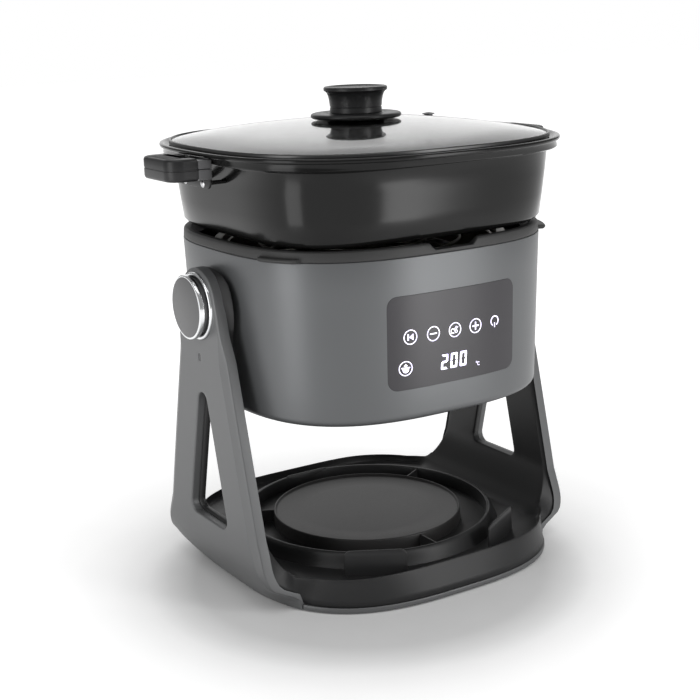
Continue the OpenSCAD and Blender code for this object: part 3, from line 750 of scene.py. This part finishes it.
def lug(side, low):
    """A flat lug that stands out from the ring's front corner, with a rounded outer edge."""
    a, b, n = SHELL[1].x, SHELL[1].y, SHELL_POWER
    middle = 33.0
    inner, outer = [], []
    for i in range(25):
        u = -1 + i / 12
        angle = math.radians(-middle + u * 7.0)
        c, s = math.cos(angle), math.sin(angle)
        r = (abs(c / a) ** n + abs(s / b) ** n) ** (-1 / n)
        reach = 6.4 * (1 - abs(u) ** 7) ** (1 / 4)
        inner.append((side * (r - 9) * c, (r - 9) * s))
        outer.append((side * (r + reach) * c, (r + reach) * s))
    rows = []
    for rise, inset in ((0, 1.4), (0.9, 0.4), (1.5, 0.0), (2.5, 0.1), (3.3, 0.8), (3.5, 2.0)):
        row = []
        for x, y in outer:
            k = 1 - inset / math.hypot(x, y)
            row.append((x * k, y * k, low + rise))
        rows.append(row + [(x, y, low + rise) for x, y in reversed(inner)])
    return loft(rows)


# ---- pot and handles


def pot_body():
    """The coated pot: tapered wall, step under the flange, rolled lip, ledge and inner wall."""
    low, top = POT[0].z, POT[1].z
    a, b = POT[1].x, POT[1].y
    profile = [
        (low + 0.2, 124, 120, 3.9), (low, 127, 123, 3.9), (low + 0.5, 130, 126, 3.9),
        (low + 1.6, 132.5, 128.5, 3.9), (low + 3.4, 135.2, 131.2, 3.9), (low + 6, 137.2, 133.1, 3.9),
        (low + 24, 139.2, 135.2, 3.9), (low + 44, 141.2, 137.1, 3.9), (top - 13.4, 142.5, 138.5, 3.9),
        (top - 12.0, 143.3, 139.6, 3.85),
        (top - 11.2, 146.5, 144.0, 3.5), (top - 10.7, 151.5, 151.0, 3.15), (top - 10.2, 155.0, 155.8, 3.0),
        (top - 9.4, 156.8, 158.2, 2.9), (top - 8.4, 157.3, 158.9, 2.85), (top - 5.0, 157.8, 159.5, 2.76),
        (top - 4.3, 158.3, 160.2, 2.74), (top - 4.0, 160.2, 162.1, 2.70), (top - 3.4, a - 0.5, b - 0.5, 2.68),
        (top - 2.6, a, b, 2.68), (top - 1.2, a, b, 2.68), (top - 0.4, a - 0.45, b - 0.45, 2.68),
        (top, a - 1.5, b - 1.5, 2.68), (top, a - 3.2, b - 3.2, 2.68), (top - 0.5, a - 4.1, b - 4.3, 2.68),
        (top - 2.3, 156.2, 157.2, 2.68), (top - 2.6, 154.8, 155.6, 2.7), (top - 2.6, 151.4, 151.6, 2.8),
        (top - 3.4, 149.8, 149.4, 2.9), (top - 6, 148.4, 147, 3.0), (top - 12.6, 140.2, 136.2, 3.9),
        (low + 9, 134.4, 130.4, 3.9), (low + 5, 132.0, 128.0, 3.9), (low + 3.4, 128.0, 124.0, 3.9),
        (low + 3.0, 120.0, 116.0, 3.9),
    ]
    rings = [ring(z, p, q, n, 256) for z, p, q, n in profile]
    build("pot_body", *loft(rings), "pot", COATING, ["pot_shell"], "pot_coating", sharp=42)


def handle(side):
    """A pot handle: a ribbed grip with a seam, two metal ferrules and a riveted plate."""
    word = "left" if side < 0 else "right"
    low, high = HANDLE[0].z, HANDLE[1].z
    root, out, y0 = HANDLE[0].x, HANDLE[1].x, HANDLE[1].y
    r, bar_width, leg = 13.0, 18.0, 12.0
    corners = [*arc(out - r, -y0 + r, r, 270, 360, 12), *arc(out - r, y0 - r, r, 0, 90, 12)]
    outer = [(root, -y0), *corners, (root, y0)]
    gap_x = out - bar_width
    inner = [
        (root, leg - y0), *arc(gap_x - 5, leg + 5 - y0, 5, 270, 360, 8),
        *arc(gap_x - 5, y0 - leg - 5, 5, 0, 90, 8), (root, y0 - leg),
    ]
    normals = inward(outer + list(reversed(inner)))
    middle = (low + high) / 2
    layers = [
        (low, 2.6), (low + 0.5, 1.3), (low + 1.3, 0.5), (low + 2.6, 0.0), (middle - 0.7, 0.0),
        (middle - 0.45, 0.45), (middle + 0.45, 0.45), (middle + 0.7, 0.0), (high - 2.6, 0.0),
        (high - 1.3, 0.5), (high - 0.5, 1.3), (high - 0.2, 2.6),
    ]
    parts = [loft([[(max(root, p[0] + n.x * d), p[1] + n.y * d, z) for p, n in normals] for z, d in layers])]
    # slanted ribs on top
    for k in range(12):
        y = -y0 + 8.5 + k * (2 * y0 - 17) / 11
        rib = [
            (gap_x + 2.6, y - 0.9), (out - 3.2, y + 1.3), (out - 2.8, y + 2.2), (out - 3.2, y + 3.1),
            (gap_x + 2.6, y + 0.9), (gap_x + 2.2, y),
        ]
        if abs(y + 1.1) > y0 - 9:
            continue
        rows = [[(a, b, high - drop) for a, b in rib] for drop in (0.9, 0.12)]
        start_x, mid_y = gap_x + 2.6, y + 1.1
        rows.append([(start_x + 0.3 + (a - start_x) * 0.97, mid_y + (b - mid_y) * 0.8, high) for a, b in rib])
        parts.append(loft(rows))

    def add(name, shape, material, node, slot, **options):
        verts, faces = shape
        nodes = [f"{word}_{node}"]
        build(f"{word}_{name}", mirrored(verts, side), faces, "pot", material, nodes, slot, **options)

    add("handle_grip", together(*parts), PHENOLIC, "pot_handle", "handle_plastic", sharp=40)
    # ferrules and plate
    plate_low, _ = box_mm(f"{word}_handle_bracket")
    face = 158.8
    parts = []
    top = POT[1].z - 4.6
    for s in (-1, 1):
        mid = s * (y0 - 6)
        half = 6.2
        for z0, z1 in ((low + 0.4, middle - 0.2), (middle + 0.2, top)):
            rows = []
            for x, d in ((face, 0.0), (root - 1.2, 0.0), (root - 0.4, 0.25), (root, 0.9)):
                a, b, c, e = mid - half + d, mid + half - d, z0 + d, z1 - d
                rows.append([(x, a, c), (x, b, c), (x, b, e), (x, a, e)])
            parts.append(loft(rows))
    add("handle_ferrules", together(*parts), FERRULE, "handle_bracket", "bracket_metal", bevel=0.45)
    z0, z1 = plate_low.z, low + 9
    corners = [*arc(-y0 + 7.5, z0 + 6.5, 6.5, 180, 270, 8), *arc(y0 - 7.5, z0 + 6.5, 6.5, 270, 360, 8)]
    normals = inward([(-y0 + 1, z1), *corners, (y0 - 1, z1)])
    rows = []
    for x, d in ((face, 0.4), (face + 0.3, 0.0), (face + 1.4, 0.0), (face + 1.8, 0.2), (face + 2.0, 0.8)):
        rows.append([(x, p[0] + n.x * d, p[1] + n.y * d) for p, n in normals])
    parts = [loft(rows)]
    for s in (-1, 1):
        x0, x1, mid = 142.0, face + 0.6, s * 16
        web = [(x0, mid - 5), (x1, mid - 6.5), (x1, mid + 6.5), (x0, mid + 5)]
        parts.append(loft([[(x, y, z) for x, y in web] for z in (low - 5, low - 3)]))
    add("handle_plate", together(*parts), PHENOLIC, "handle_bracket", "bracket_metal", sharp=40)


def rivets():
    """Domed rivet heads on both plates."""
    low = HANDLE[0].z
    dome = [(0.01, 1.4), (1.4, 1.3), (2.5, 0.9), (3.2, 0.3), (3.4, 0.0), (0.01, 0.0)]
    parts = []
    for side in (-1, 1):
        for y in (-16, 16):
            verts, faces = lathe(dome, 24)
            parts.append((mirrored([(160.82 + c, a + y, b + low - 4) for a, b, c in verts], side), faces))
    build("rivet_heads", *together(*parts), "pot", STEEL, ["handle_rivets"], "steel", sharp=50)


# ---- lid


def lid():
    """Domed glass with a dark band, and the knob on its flange."""
    edge_z = GLASS[0].z
    a, b = GLASS[1].x, GLASS[1].y
    shares = [1, 0.985, 0.96, 0.93, 0.88, 0.8, 0.7, 0.6, 0.5, 0.4, 0.3, 0.2, 0.1, 0.02]

    def at(k, t):
        z = edge_z + 13.1 * (1 - k**2.2) + (t - 1.2 * k**9 if t else 0)
        return ring(z, a * k, b * k, 2 + 0.7 * k, 160)

    rings = [at(k, 0) for k in reversed(shares)] + [at(k, 3.5) for k in shares]
    build("lid_glass_dome", *loft(rings), "lid", GLASS_CLEAR, ["lid_glass"], "lid_glass", sharp=40)
    low, high = box_mm("lid_band")
    a, b = high.x, high.y
    profile = [
        (0.9, low.z), (0.1, low.z + 0.6), (0.0, low.z + 1.2), (0.0, high.z - 1.1), (0.25, high.z - 0.4),
        (0.9, high.z), (1.7, high.z), (1.88, high.z - 0.3), (1.88, low.z + 0.2), (1.5, low.z),
    ]
    rings = [ring(z, a - d, b - d, 2.7, 256) for d, z in profile]
    build("lid_band_rim", *loft(rings, closed=True), "lid", BAND, ["lid_band"], "lid_band", sharp=40)
    low, high = SEAT[0].z, SEAT[1].z
    seat = [
        (3.4, low), (24, low), (25, low + 0.5), (36.6, low + 0.5), (38.4, low + 0.9), (39.5, low + 1.6),
        (40, low + 2.5), (40, low + 3.3), (39.6, low + 4.2), (38.7, low + 4.8), (37.4, high), (27, high),
        (26, high - 0.5), (25.2, high - 0.5), (24.6, high), (3.4, high),
    ]
    build("knob_flange", *lathe(seat, closed=True), "lid", PHENOLIC, ["knob_seat"], "handle_plastic", sharp=40)
    low, high = KNOB[0].z, KNOB[1].z
    r = KNOB[1].x
    knob = [
        (0.02, 412), (2.1, 412), (2.1, low), (23, low), (23.3, low + 0.4), (22.9, low + 2), (22.8, low + 4.5),
        (22.3, low + 4.8), (22.3, low + 5.3), (22.9, low + 5.6), (23.3, low + 10), (24.1, low + 14),
        (25.2, low + 17),
        (26.6, low + 18.5), (r - 0.5, low + 18.9), (r, low + 19.6), (r, high - 1.3), (r - 0.3, high - 0.5),
        (r - 1.1, high), (r - 3.4, high), (r - 4.2, high - 0.5), (r - 5.5, high - 1.0), (14, high - 1.3),
        (0.02, high - 1.4),
    ]
    build("knob_grip", *lathe(knob), "lid", PHENOLIC, ["lid_knob"], "handle_plastic", sharp=34)


def side_button(side):
    """A side button's face with its bright edge, over a bright bezel."""
    word = "left" if side < 0 else "right"
    back = BUTTON_OUT - 4.5
    r = BUTTON_R
    face = [
        (0.02, 154.2), (4.4, 154.2), (5, 154.8), (5, back - 1), (23, back - 1), (23, 163.0), (24.9, 163.0),
        (24.9, back), (r - 0.9, back), (r - 0.9, BUTTON_OUT - 1.1), (r - 1.9, BUTTON_OUT - 0.25),
        (r - 2.6, BUTTON_OUT), (0.02, BUTTON_OUT - 0.2),
    ]

    def add(name, shape, body, material, nodes, slot, sharp):
        verts, faces = shape
        build(f"{word}_{name}", to_x_axis(verts, side), faces, body, material, nodes, slot, sharp)

    button = f"{word}_button"
    add("button_cap", lathe(face), button, CAP, [button], "button_cap", 34)
    hoop = [
        (r - 1.0, back + 0.1), (r - 0.35, back + 0.1), (r, back + 0.5), (r, BUTTON_OUT - 1.3),
        (r - 0.5, BUTTON_OUT - 0.5), (r - 1.3, BUTTON_OUT - 0.25), (r - 1.95, BUTTON_OUT - 0.2),
        (r - 1.95, BUTTON_OUT - 0.7), (r - 1.0, BUTTON_OUT - 1.2),
    ]
    add("button_hoop", lathe(hoop, closed=True), button, BRIGHT, (), "button_cap", 40)
    low, high = box_mm(f"{word}_bezel")
    outer = (high.z - low.z) / 2
    x0, x1 = (low.x, high.x) if side > 0 else (-high.x, -low.x)
    bezel = [
        (25.5, x0), (outer, x0), (outer, x1 - 1.6), (outer - 0.4, x1 - 0.6), (outer - 1.2, x1 - 0.1),
        (outer - 2.0, x1), (26.4, x1 - 0.1), (25.8, x1 - 0.5), (25.5, x1 - 1.1),
    ]
    add("bezel_ring", lathe(bezel, closed=True), "stand", BRIGHT, [f"{word}_bezel"], "bright_ring", 40)


head_skin()
panel()
rim()
pot_body()
handle(-1)
handle(1)
rivets()
lid()
side_button(-1)
side_button(1)


# ---- stand: black moulding


SWEEP_TOP = 66.0
WINDOW_LIP = 1.6


def spline(points, steps):
    """A smooth line through 3-D points, with that many steps between each two."""
    pts = [Vector(p) for p in points]
    last = len(pts) - 1
    out = []
    for i in range(last):
        p0, p1, p2, p3 = pts[max(0, i - 1)], pts[i], pts[i + 1], pts[min(last, i + 2)]
        for k in range(steps):
            t = k / steps
            b = (p2 - p0) * t
            c = (2 * p0 - 5 * p1 + 4 * p2 - p3) * t * t
            d = (3 * p1 - p0 - 3 * p2 + p3) * t**3
            out.append((2 * p1 + b + c + d) * 0.5)
    out.append(pts[last])
    return out


def boss(y, z):
    """1 on the lining's head round the pivot, 0 away from it."""
    n = 2.5
    return 1 - smooth(0.86, 1.12, (abs(y / 40) ** n + abs((z - PIVOT_Z + 7) / 40) ** n) ** (1 / n))


def lining_x(y, z):
    """The arm's inner face: straight above, sweeping in to the tray near the table."""
    fall = max(0.0, (SWEEP_TOP - z) / (SWEEP_TOP - RIM_Z))
    return LINER_X - 2.4 * boss(y, z) - 17.0 * fall**1.9


def quarter_edges():
    """Two lines from the middle of the front to the top of the right arm, and where the arm's face starts.

    A meets the grey cover and the grey strip. B is the inner edge."""
    a_line, b_line = [], []
    for t in (math.radians(-90 + 4.0 * k) for k in range(14)):
        c, s = math.cos(t), math.sin(t)
        a_line.append(Vector((148.1 * signed_power(c, 2 / 2.9), 150.6 * signed_power(s, 2 / 2.9), 5.6)))
        b_line.append(Vector((138.4 * signed_power(c, 2 / 3.5), -4 + 137 * signed_power(s, 2 / 3.5), RIM_Z)))
    arm = [(face_x(arm_half(z) - 1.2, z) - COVER_BACK, 1.2 - arm_half(z), z) for z in (66, 90, 120, 150, 180, 205)]
    a_low = [a_line[-1]]
    for z in (7.6, 12.5, 19, 27, 36, 46, 56):
        y = 1.2 - side_y(z)
        a_low.append((face_x(y, z) - min(cover_depth(z) - 0.35, 1.0 + 0.42 * (z - 5.6)), y, z))
    a_low.append(arm[0])
    b_low = [b_line[-1], (128.4, -101.6, RIM_Z), (133.4, -95.4, RIM_Z + 0.3), (135.9, -90.6, 31.0)]
    b_low += [(lining_x(y, z), y, z) for y, z in ((-86.6, 35.5), (-82.8, 43), (-79.0, 53))]
    b_low.append((lining_x(-76.6, 60), -76.6, 60))
    b_low.append((LINER_X, 4.8 - arm_half(66), 66))
    a_line += spline(a_low, 6)[1:]
    start = len(b_line) + 11
    b_line += spline(b_low, 6)[1:]
    for (ax, ay, az), (bx, by, bz) in zip(arm, arm[1:]):
        for k in range(1, 5):
            z = az + (bz - az) * k / 4
            a_line.append(Vector((ax + (bx - ax) * k / 4, ay + (by - ay) * k / 4, z)))
            b_line.append(Vector((LINER_X, 4.8 - arm_half(z), z)))
    angle = math.degrees(math.atan(ARM_SLOPE))
    join_z = PIVOT_Z + ARM_TOP_R * math.sin(math.radians(angle))
    steps = 26
    for k in range(1, steps + 1):
        if k <= 8:
            z = 205 + (join_z - 205) * k / 8
            y = 1.2 - arm_half(z)
        else:
            turn = math.radians(180 - angle - (90 - angle) * (k - 8) / (steps - 8))
            y, z = (ARM_TOP_R - 1.2) * math.cos(turn), PIVOT_Z + (ARM_TOP_R - 1.2) * math.sin(turn)
        a_line.append(Vector((face_x(y, z) - COVER_BACK, y, z)))
        t = k / steps
        wide = math.radians(214 - 124 * t)
        y = 39.0 * signed_power(math.cos(wide), 0.8)
        z = PIVOT_Z - 7 + 38.0 * signed_power(math.sin(wide), 0.8)
        stay = 1 - smooth(0.0, 0.32, t)
        y += (4.8 - arm_half(z) - y) * stay
        b_line.append(Vector((lining_x(y, z), y, z)))
    return a_line, b_line, start


def all_round(quarter, rear_lift=0.0):
    """A quarter line mirrored to the whole edge: front, right arm, rear, left arm."""
    back = []
    for p in reversed(quarter[:-1]):
        low = 1 - smooth(60, 125, abs(p.x)) if p.z < RIM_Z + 0.5 else 0.0
        back.append(Vector((p.x, -p.y, p.z + rear_lift * low)))
    half = quarter + back
    other = [Vector((-p.x, p.y, p.z)) for p in reversed(half)]
    return half + other[1:-1]


def inner_edge(line, inset):
    """The line moved that far onto the inner surface: across the arm's face, or level over the tray."""
    out = []
    m = len(line)
    for i, p in enumerate(line):
        along = line[(i + 1) % m] - line[i - 1]
        level = Vector((-along.y, along.x, 0))
        upright = Vector((0, -along.z, along.y))
        if level.length > 1e-6:
            level.normalize()
        if level.dot(Vector((-p.x, -p.y, 0))) < 0:
            level = -level
        if upright.length > 1e-6:
            upright.normalize()
        centre_z = 150 if p.z < 225 else 240
        if upright.dot(Vector((0, -p.y, centre_z - p.z))) < 0:
            upright = -upright
        share = smooth(RIM_Z + 0.2, RIM_Z + 7, p.z) * smooth(120, 132, abs(p.x))
        q = p + (level * (1 - share) + upright * share) * inset
        if share > 0:
            q.x += (math.copysign(lining_x(q.y, q.z), p.x) - q.x) * share
        out.append(q)
    return out


def moulding():
    """The stand's black moulding: front and rear walls, the arms' inner faces and the tray."""
    a_quarter, b_quarter, start = quarter_edges()
    a, b = all_round(a_quarter), all_round(b_quarter, 2.0)
    c = inner_edge(b, 1.0)
    rows = [[p.lerp(q, s) for p, q in zip(a, b)] for s in (0.0, 0.25, 0.5, 0.75)]
    for k in range(6):
        t = k / 5
        row = []
        for p, q, r in zip(a, b, c):
            near = q + (p - q).normalized() * 1.0
            row.append(near * (1 - t) ** 2 + q * 2 * t * (1 - t) + r * t * t)
        rows.append(row)
    parts = [strip_between(rows)]
    # inner faces of the arms
    quarter = len(b_quarter)
    arm_line = c[start : 2 * quarter - 1 - start]
    first, last = arm_line[-1], arm_line[0]
    sill = [first.lerp(last, k / 36) for k in range(1, 36)]
    outer = [(p.y, p.z) for p in arm_line + sill]
    known = {(round(p.y * 50), round(p.z * 50)): tuple(p) for p in arm_line + sill}
    loops = [[(face_x(y, z) - 7.4, y, z) for y, z in window(-WINDOW_LIP)]]
    for k in range(7):
        t = math.pi / 2 * k / 6
        line = window(1.4 * (1 - math.cos(t)) - WINDOW_LIP)
        loops.append([(lining_x(y, z) + 1.4 * (1 - math.sin(t)), y, z) for y, z in line])
    hole = [(p[1], p[2]) for p in loops[-1]]

    def keep(p):
        return p.y > RIM_Z + 2 and all(distance_to(line, p) > 2.4 for line in (outer, hole))

    flat, flat_faces = fill(outer, [hole], 4.2, keep)
    face = ([known.get((round(y * 50), round(z * 50)), (lining_x(y, z), y, z)) for y, z in flat], flat_faces)
    for side in (-1, 1):
        for verts, faces in (face, strip_between(loops)):
            parts.append((mirrored(verts, side), faces))
    # the tray's inner wall and floor
    front = c[: start + 1]
    rear = c[2 * quarter - 2 - start : 2 * quarter - 1]
    half = front + list(reversed(sill)) + rear
    mouth = half + [Vector((-p.x, p.y, p.z)) for p in reversed(half[1:-1])]
    m = len(mouth)
    wall = [mouth]
    steps = ((27.6, 1.4, 0.15), (25.6, 3.7, 0.4), (23.8, 6.2, 0.8), (22.6, 8.5, 1.4), (TRAY_FLOOR, 10.6, 2.6))
    for z, side_in, end_in in steps:
        row = []
        for p in mouth:
            flank = 1 - smooth(76, 110, abs(p.y))
            inset = end_in + (side_in - end_in) * flank
            rise = (p.z - RIM_Z) * max(0.0, (z - TRAY_FLOOR) / (RIM_Z - TRAY_FLOOR))
            out = Vector((signed_power(p.x / 138, 2.4), signed_power((p.y + 4) / 137, 2.4), 0)).normalized()
            out = (out * (1 - flank) + Vector((math.copysign(1, p.x), 0, 0)) * flank).normalized()
            row.append(Vector((p.x - out.x * inset, p.y - out.y * inset, z + rise)))
        wall.append(row)
    verts, faces = strip_between(wall)
    k = len(wall) - 1
    faces.append(tuple(range(k * m, (k + 1) * m)))
    parts.append((verts, faces))
    verts, faces = weld(*together(*parts))
    piece = build(
        "stand_moulding", verts, faces, "stand", BLACK, ["base_tray", "left_arm_liner", "right_arm_liner"],
        "black_moulding", sharp=40,
    )
    floor = max(piece.data.polygons, key=lambda f: len(f.vertices))
    if floor.normal.z < 0:
        piece.data.flip_normals()
    solid = piece.modifiers.new("wall", "SOLIDIFY")
    solid.thickness = 1.6 * MM
    solid.offset = -1.0


def tray_relief():
    """The disc, the ridge round it, the ribs between them, the two clips and the rear stop."""
    z0 = TRAY_FLOOR - 0.6
    top = 34.6
    disc_line = [
        (0.02, z0), (88, z0), (88, top - 0.9), (87.7, top - 0.3), (87.1, top), (86.6, top), (86.1, top - 0.4),
        (85.6, top - 1.8), (84.6, top - 2.3), (60, top - 2.35), (0.02, top - 2.5),
    ]
    build("tray_disc", *lathe(disc_line, 128), "stand", DISC_BLACK, ["base_tray"], "black_moulding", sharp=50)
    ridge = [
        (112, z0), (112.5, top - 1.6), (112.9, top - 0.5), (113.8, top), (115.2, top - 0.1),
        (116.6, top - 0.9),
        (118.0, top - 3.0), (119.4, top - 6.5), (121.0, top - 10), (123.2, z0),
    ]
    relief = [lathe(ridge, 128, closed=True)]
    for turn in (30, 150, 270):
        c, s = math.cos(math.radians(turn)), math.sin(math.radians(turn))
        rows = []
        for z, half in ((z0, 0.8), (top - 1.6, 0.8), (top - 1.2, 0.45)):
            rows.append([(87.0, -half, z), (113.0, -half, z), (113.0, half, z), (87.0, half, z)])
        verts, faces = loft(rows)
        relief.append(([(x * c - y * s, x * s + y * c, z) for x, y, z in verts], faces))
    for plate in ((240, 137, 54, 45, 2.4), (300, 137, 54, 45, 2.4), (90, 114.2, 52, 35.6, 2.0)):
        relief.append(clip(*plate, z0))
    build("tray_ridge", *together(*relief), "stand", BLACK, ["base_tray"], "black_moulding", sharp=40)


def clip(turn, r, width, high, thick, z0):
    """A curved upright plate with rounded upper corners, thinner towards its top edge."""
    corner = min(6.0, (high - z0) * 0.4)
    outline = [(share * width, z0) for share in (-0.5, -0.25, 0, 0.25, 0.5)]
    outline += arc(width / 2 - corner, high - corner, corner, 0, 90, 8)
    outline += arc(corner - width / 2, high - corner, corner, 90, 180, 8)
    rows = []
    for d, off in ((0.4, -thick / 2), (0.0, -thick / 2 + 0.4), (0.0, thick / 2 - 0.4), (0.4, thick / 2)):
        row = []
        for u, z in outline:
            k = 1 - d / (width / 2)
            angle = math.radians(turn) + u * k / r
            radius = r + off * (1.0 if z < high - corner else 0.8)
            row.append((radius * math.cos(angle), radius * math.sin(angle), z - (d if z > z0 + 1 else 0)))
        rows.append(row)
    return loft(rows)


def strip(front):
    """The grey strip at the foot of the base between the two covers."""
    word = "front" if front else "rear"
    low, _ = box_mm(f"{word}_trim")
    sign = -1 if front else 1
    points = [p for p in ring(0, STRIP_A, STRIP_B, STRIP_POWER, 720) if p[1] * sign >= SEAM_Y + 0.35]
    points.sort(key=lambda p: p[0])
    profile = [
        (3.0, low.z), (0.6, low.z), (0.15, low.z + 0.3), (0.0, low.z + 0.9), (0.0, STRIP_TOP - 0.8),
        (0.25, STRIP_TOP - 0.2), (0.8, STRIP_TOP), (3.0, STRIP_TOP),
    ]
    rows = []
    for x, y, _ in points:
        normal = Vector((signed_power(x / STRIP_A, 1.9) / STRIP_A, signed_power(y / STRIP_B, 1.9) / STRIP_B))
        normal.normalize()
        rows.append([(x - normal.x * d, y - normal.y * d, z) for d, z in profile])
    build(f"{word}_strip", *loft(rows), "stand", ARM_GREY, [f"{word}_trim"], "grey_cover", sharp=50)


def arm_screws():
    """The screws inside the arms, from the lining into the grey covers."""
    parts = []
    for side in (-1, 1):
        for y, z in ((36, 150), (-36, 150), (56, 70), (-56, 70)):
            screw = [(0.02, 153.6), (2.6, 153.6), (2.6, 154.6), (1.6, 155.2), (1.6, 161.2), (0.02, 161.8)]
            verts, faces = lathe(screw, 24)
            parts.append((mirrored([(c, a + y, b + z) for a, b, c in verts], side), faces))
    build("arm_screw_bodies", *together(*parts), "stand", STEEL, ["arm_screws"], "steel", sharp=40)


moulding()
arm_screws()
tray_relief()
strip(True)
strip(False)


# ---- finish of the carried-over CAD nodes


FINISHES = {
    BLACK: "bottom_plate head_end_cover cooling_fan cord_gland",
    ACETAL: "left_pivot_bush right_pivot_bush",
    STEEL: "left_button_spring right_button_spring base_screws left_trunnion right_trunnion motor_bracket "
    "head_screws fan_impeller knob_screw temperature_sensor left_handle_bracket right_handle_bracket",
    BOARD: "power_board display_board",
    LENS: "indicator_light",
    RUBBER: "foot_front_left foot_front_right foot_rear_left foot_rear_right knob_washer",
    CHAMBER: "heat_chamber element_guard",
    HEATER: "heating_element",
    FERRULE: "fan_motor steam_vent",
}
for material, nodes in FINISHES.items():
    for node in nodes.split():
        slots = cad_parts[node].material_slots
        for place in slots:
            place.material = material


# ---- camera, light and floor


def camera():
    """The photograph's viewpoint."""
    data = bpy.data.cameras.new("camera")
    data.sensor_width = 36.0
    data.lens = 69.96
    data.clip_end = 20
    eye = bpy.data.objects.new("camera", data)
    bpy.context.scene.collection.objects.link(eye)
    azimuth, elevation, roll = (math.radians(a) for a in (-32.084, 14.417, -1.724))
    distance, offset = 1249.9, -11.51
    target = Vector((0, 0, 185.9))
    flat = math.cos(elevation)
    back = Vector((math.sin(azimuth) * flat, -math.cos(azimuth) * flat, math.sin(elevation)))
    level = Vector((math.cos(azimuth), math.sin(azimuth), 0))
    upright = back.cross(level)
    right = level * math.cos(roll) + upright * math.sin(roll)
    up = upright * math.cos(roll) - level * math.sin(roll)
    place = (target + back * distance + level * offset) * MM
    rows = [(right[i], up[i], back[i], place[i]) for i in range(3)]
    eye.matrix_world = Matrix([*rows, (0, 0, 0, 1)])
    bpy.context.scene.camera = eye


def area_light(name, place, target, size, power):
    """A soft light of that size in metres, pointed at a target."""
    data = bpy.data.lights.new(name, "AREA")
    data.shape = "RECTANGLE"
    data.size, data.size_y = size
    data.energy = power
    lamp = bpy.data.objects.new(name, data)
    bpy.context.scene.collection.objects.link(lamp)
    lamp.visible_camera = False
    lamp.location = place
    lamp.rotation_euler = (Vector(target) - Vector(place)).to_track_quat("-Z", "Y").to_euler()


def bearing(azimuth, distance, z):
    """A place at that azimuth from the front towards -X, in metres."""
    a = math.radians(azimuth)
    return (-distance * math.sin(a), -distance * math.cos(a), z)


def studio():
    """White surroundings, a soft box on each side of the camera, one overhead, and a pale floor with a painted
    shadow round the base.
    """
    world = bpy.data.worlds.new("studio")
    world.use_nodes = True
    nodes, links = world.node_tree.nodes, world.node_tree.links
    nodes["Background"].inputs["Color"].default_value = (1.0, 1.0, 1.0, 1)
    path = nodes.new("ShaderNodeLightPath")
    level = nodes.new("ShaderNodeMapRange")
    level.inputs["To Min"].default_value = 0.32
    level.inputs["To Max"].default_value = 1.0
    links.new(path.outputs["Is Camera Ray"], level.inputs["Value"])
    links.new(level.outputs[0], nodes["Background"].inputs["Strength"])
    bpy.context.scene.world = world
    area_light("left_box", bearing(80, 0.72, 0.41), (0, 0, 0.38), (0.28, 0.8), 2.0)
    area_light("right_box", bearing(-23, 0.72, 0.41), (0, 0, 0.38), (0.2, 0.8), 2.6)
    area_light("back_box", bearing(-150, 1.5, 0.85), (0, 0, 0.4), (1.9, 1.0), 5)
    area_light("top_box", (-0.2, -0.3, 1.8), (0, 0, 0.2), (1.4, 1.2), 7)
    bpy.context.scene.view_settings.view_transform = "Standard"
    n = Nodes("floor")
    tone = n.ramp(n.noise(30.0, 2.0), [(0.2, (0.61, 0.61, 0.61)), (0.8, (0.63, 0.63, 0.63))])
    # Painted shadow on the floor: its emission is nearly white far out and falls to almost nothing near the base,
    # a soft contact shadow drawn round the object.
    painted_shadow_place = n.add("ShaderNodeMapping", Vector=n.place, Location=(0.037, 0.059, 0))
    painted_shadow_falloff = n.add("ShaderNodeTexGradient", Vector=painted_shadow_place.outputs[0])
    painted_shadow_falloff.gradient_type = "SPHERICAL"
    painted_shadow_levels = {0.0: 0.97, 0.4: 0.85, 0.65: 0.66, 0.73: 0.56, 0.77: 0.46, 0.8: 0.34, 0.82: 0.18, 0.845: 0.04}
    stops = [(at, (grey, grey, grey)) for at, grey in painted_shadow_levels.items()]
    glow = n.ramp(painted_shadow_falloff.outputs["Fac"], stops)
    n.surface(Base_Color=tone, Emission_Color=glow, Emission_Strength=1.0)
    n.surface(Roughness=0.9, Specular_IOR_Level=0.1)
    half = 8.0
    corners = [(-half, -half, 0), (half, -half, 0), (half, half, 0), (-half, half, 0)]
    mesh = bpy.data.meshes.new("floor")
    mesh.from_pydata(corners, [], [(0, 1, 2, 3)])
    mesh.materials.append(n.material)
    floor = bpy.data.objects.new("floor", mesh)
    bpy.context.scene.collection.objects.link(floor)


camera()
studio()
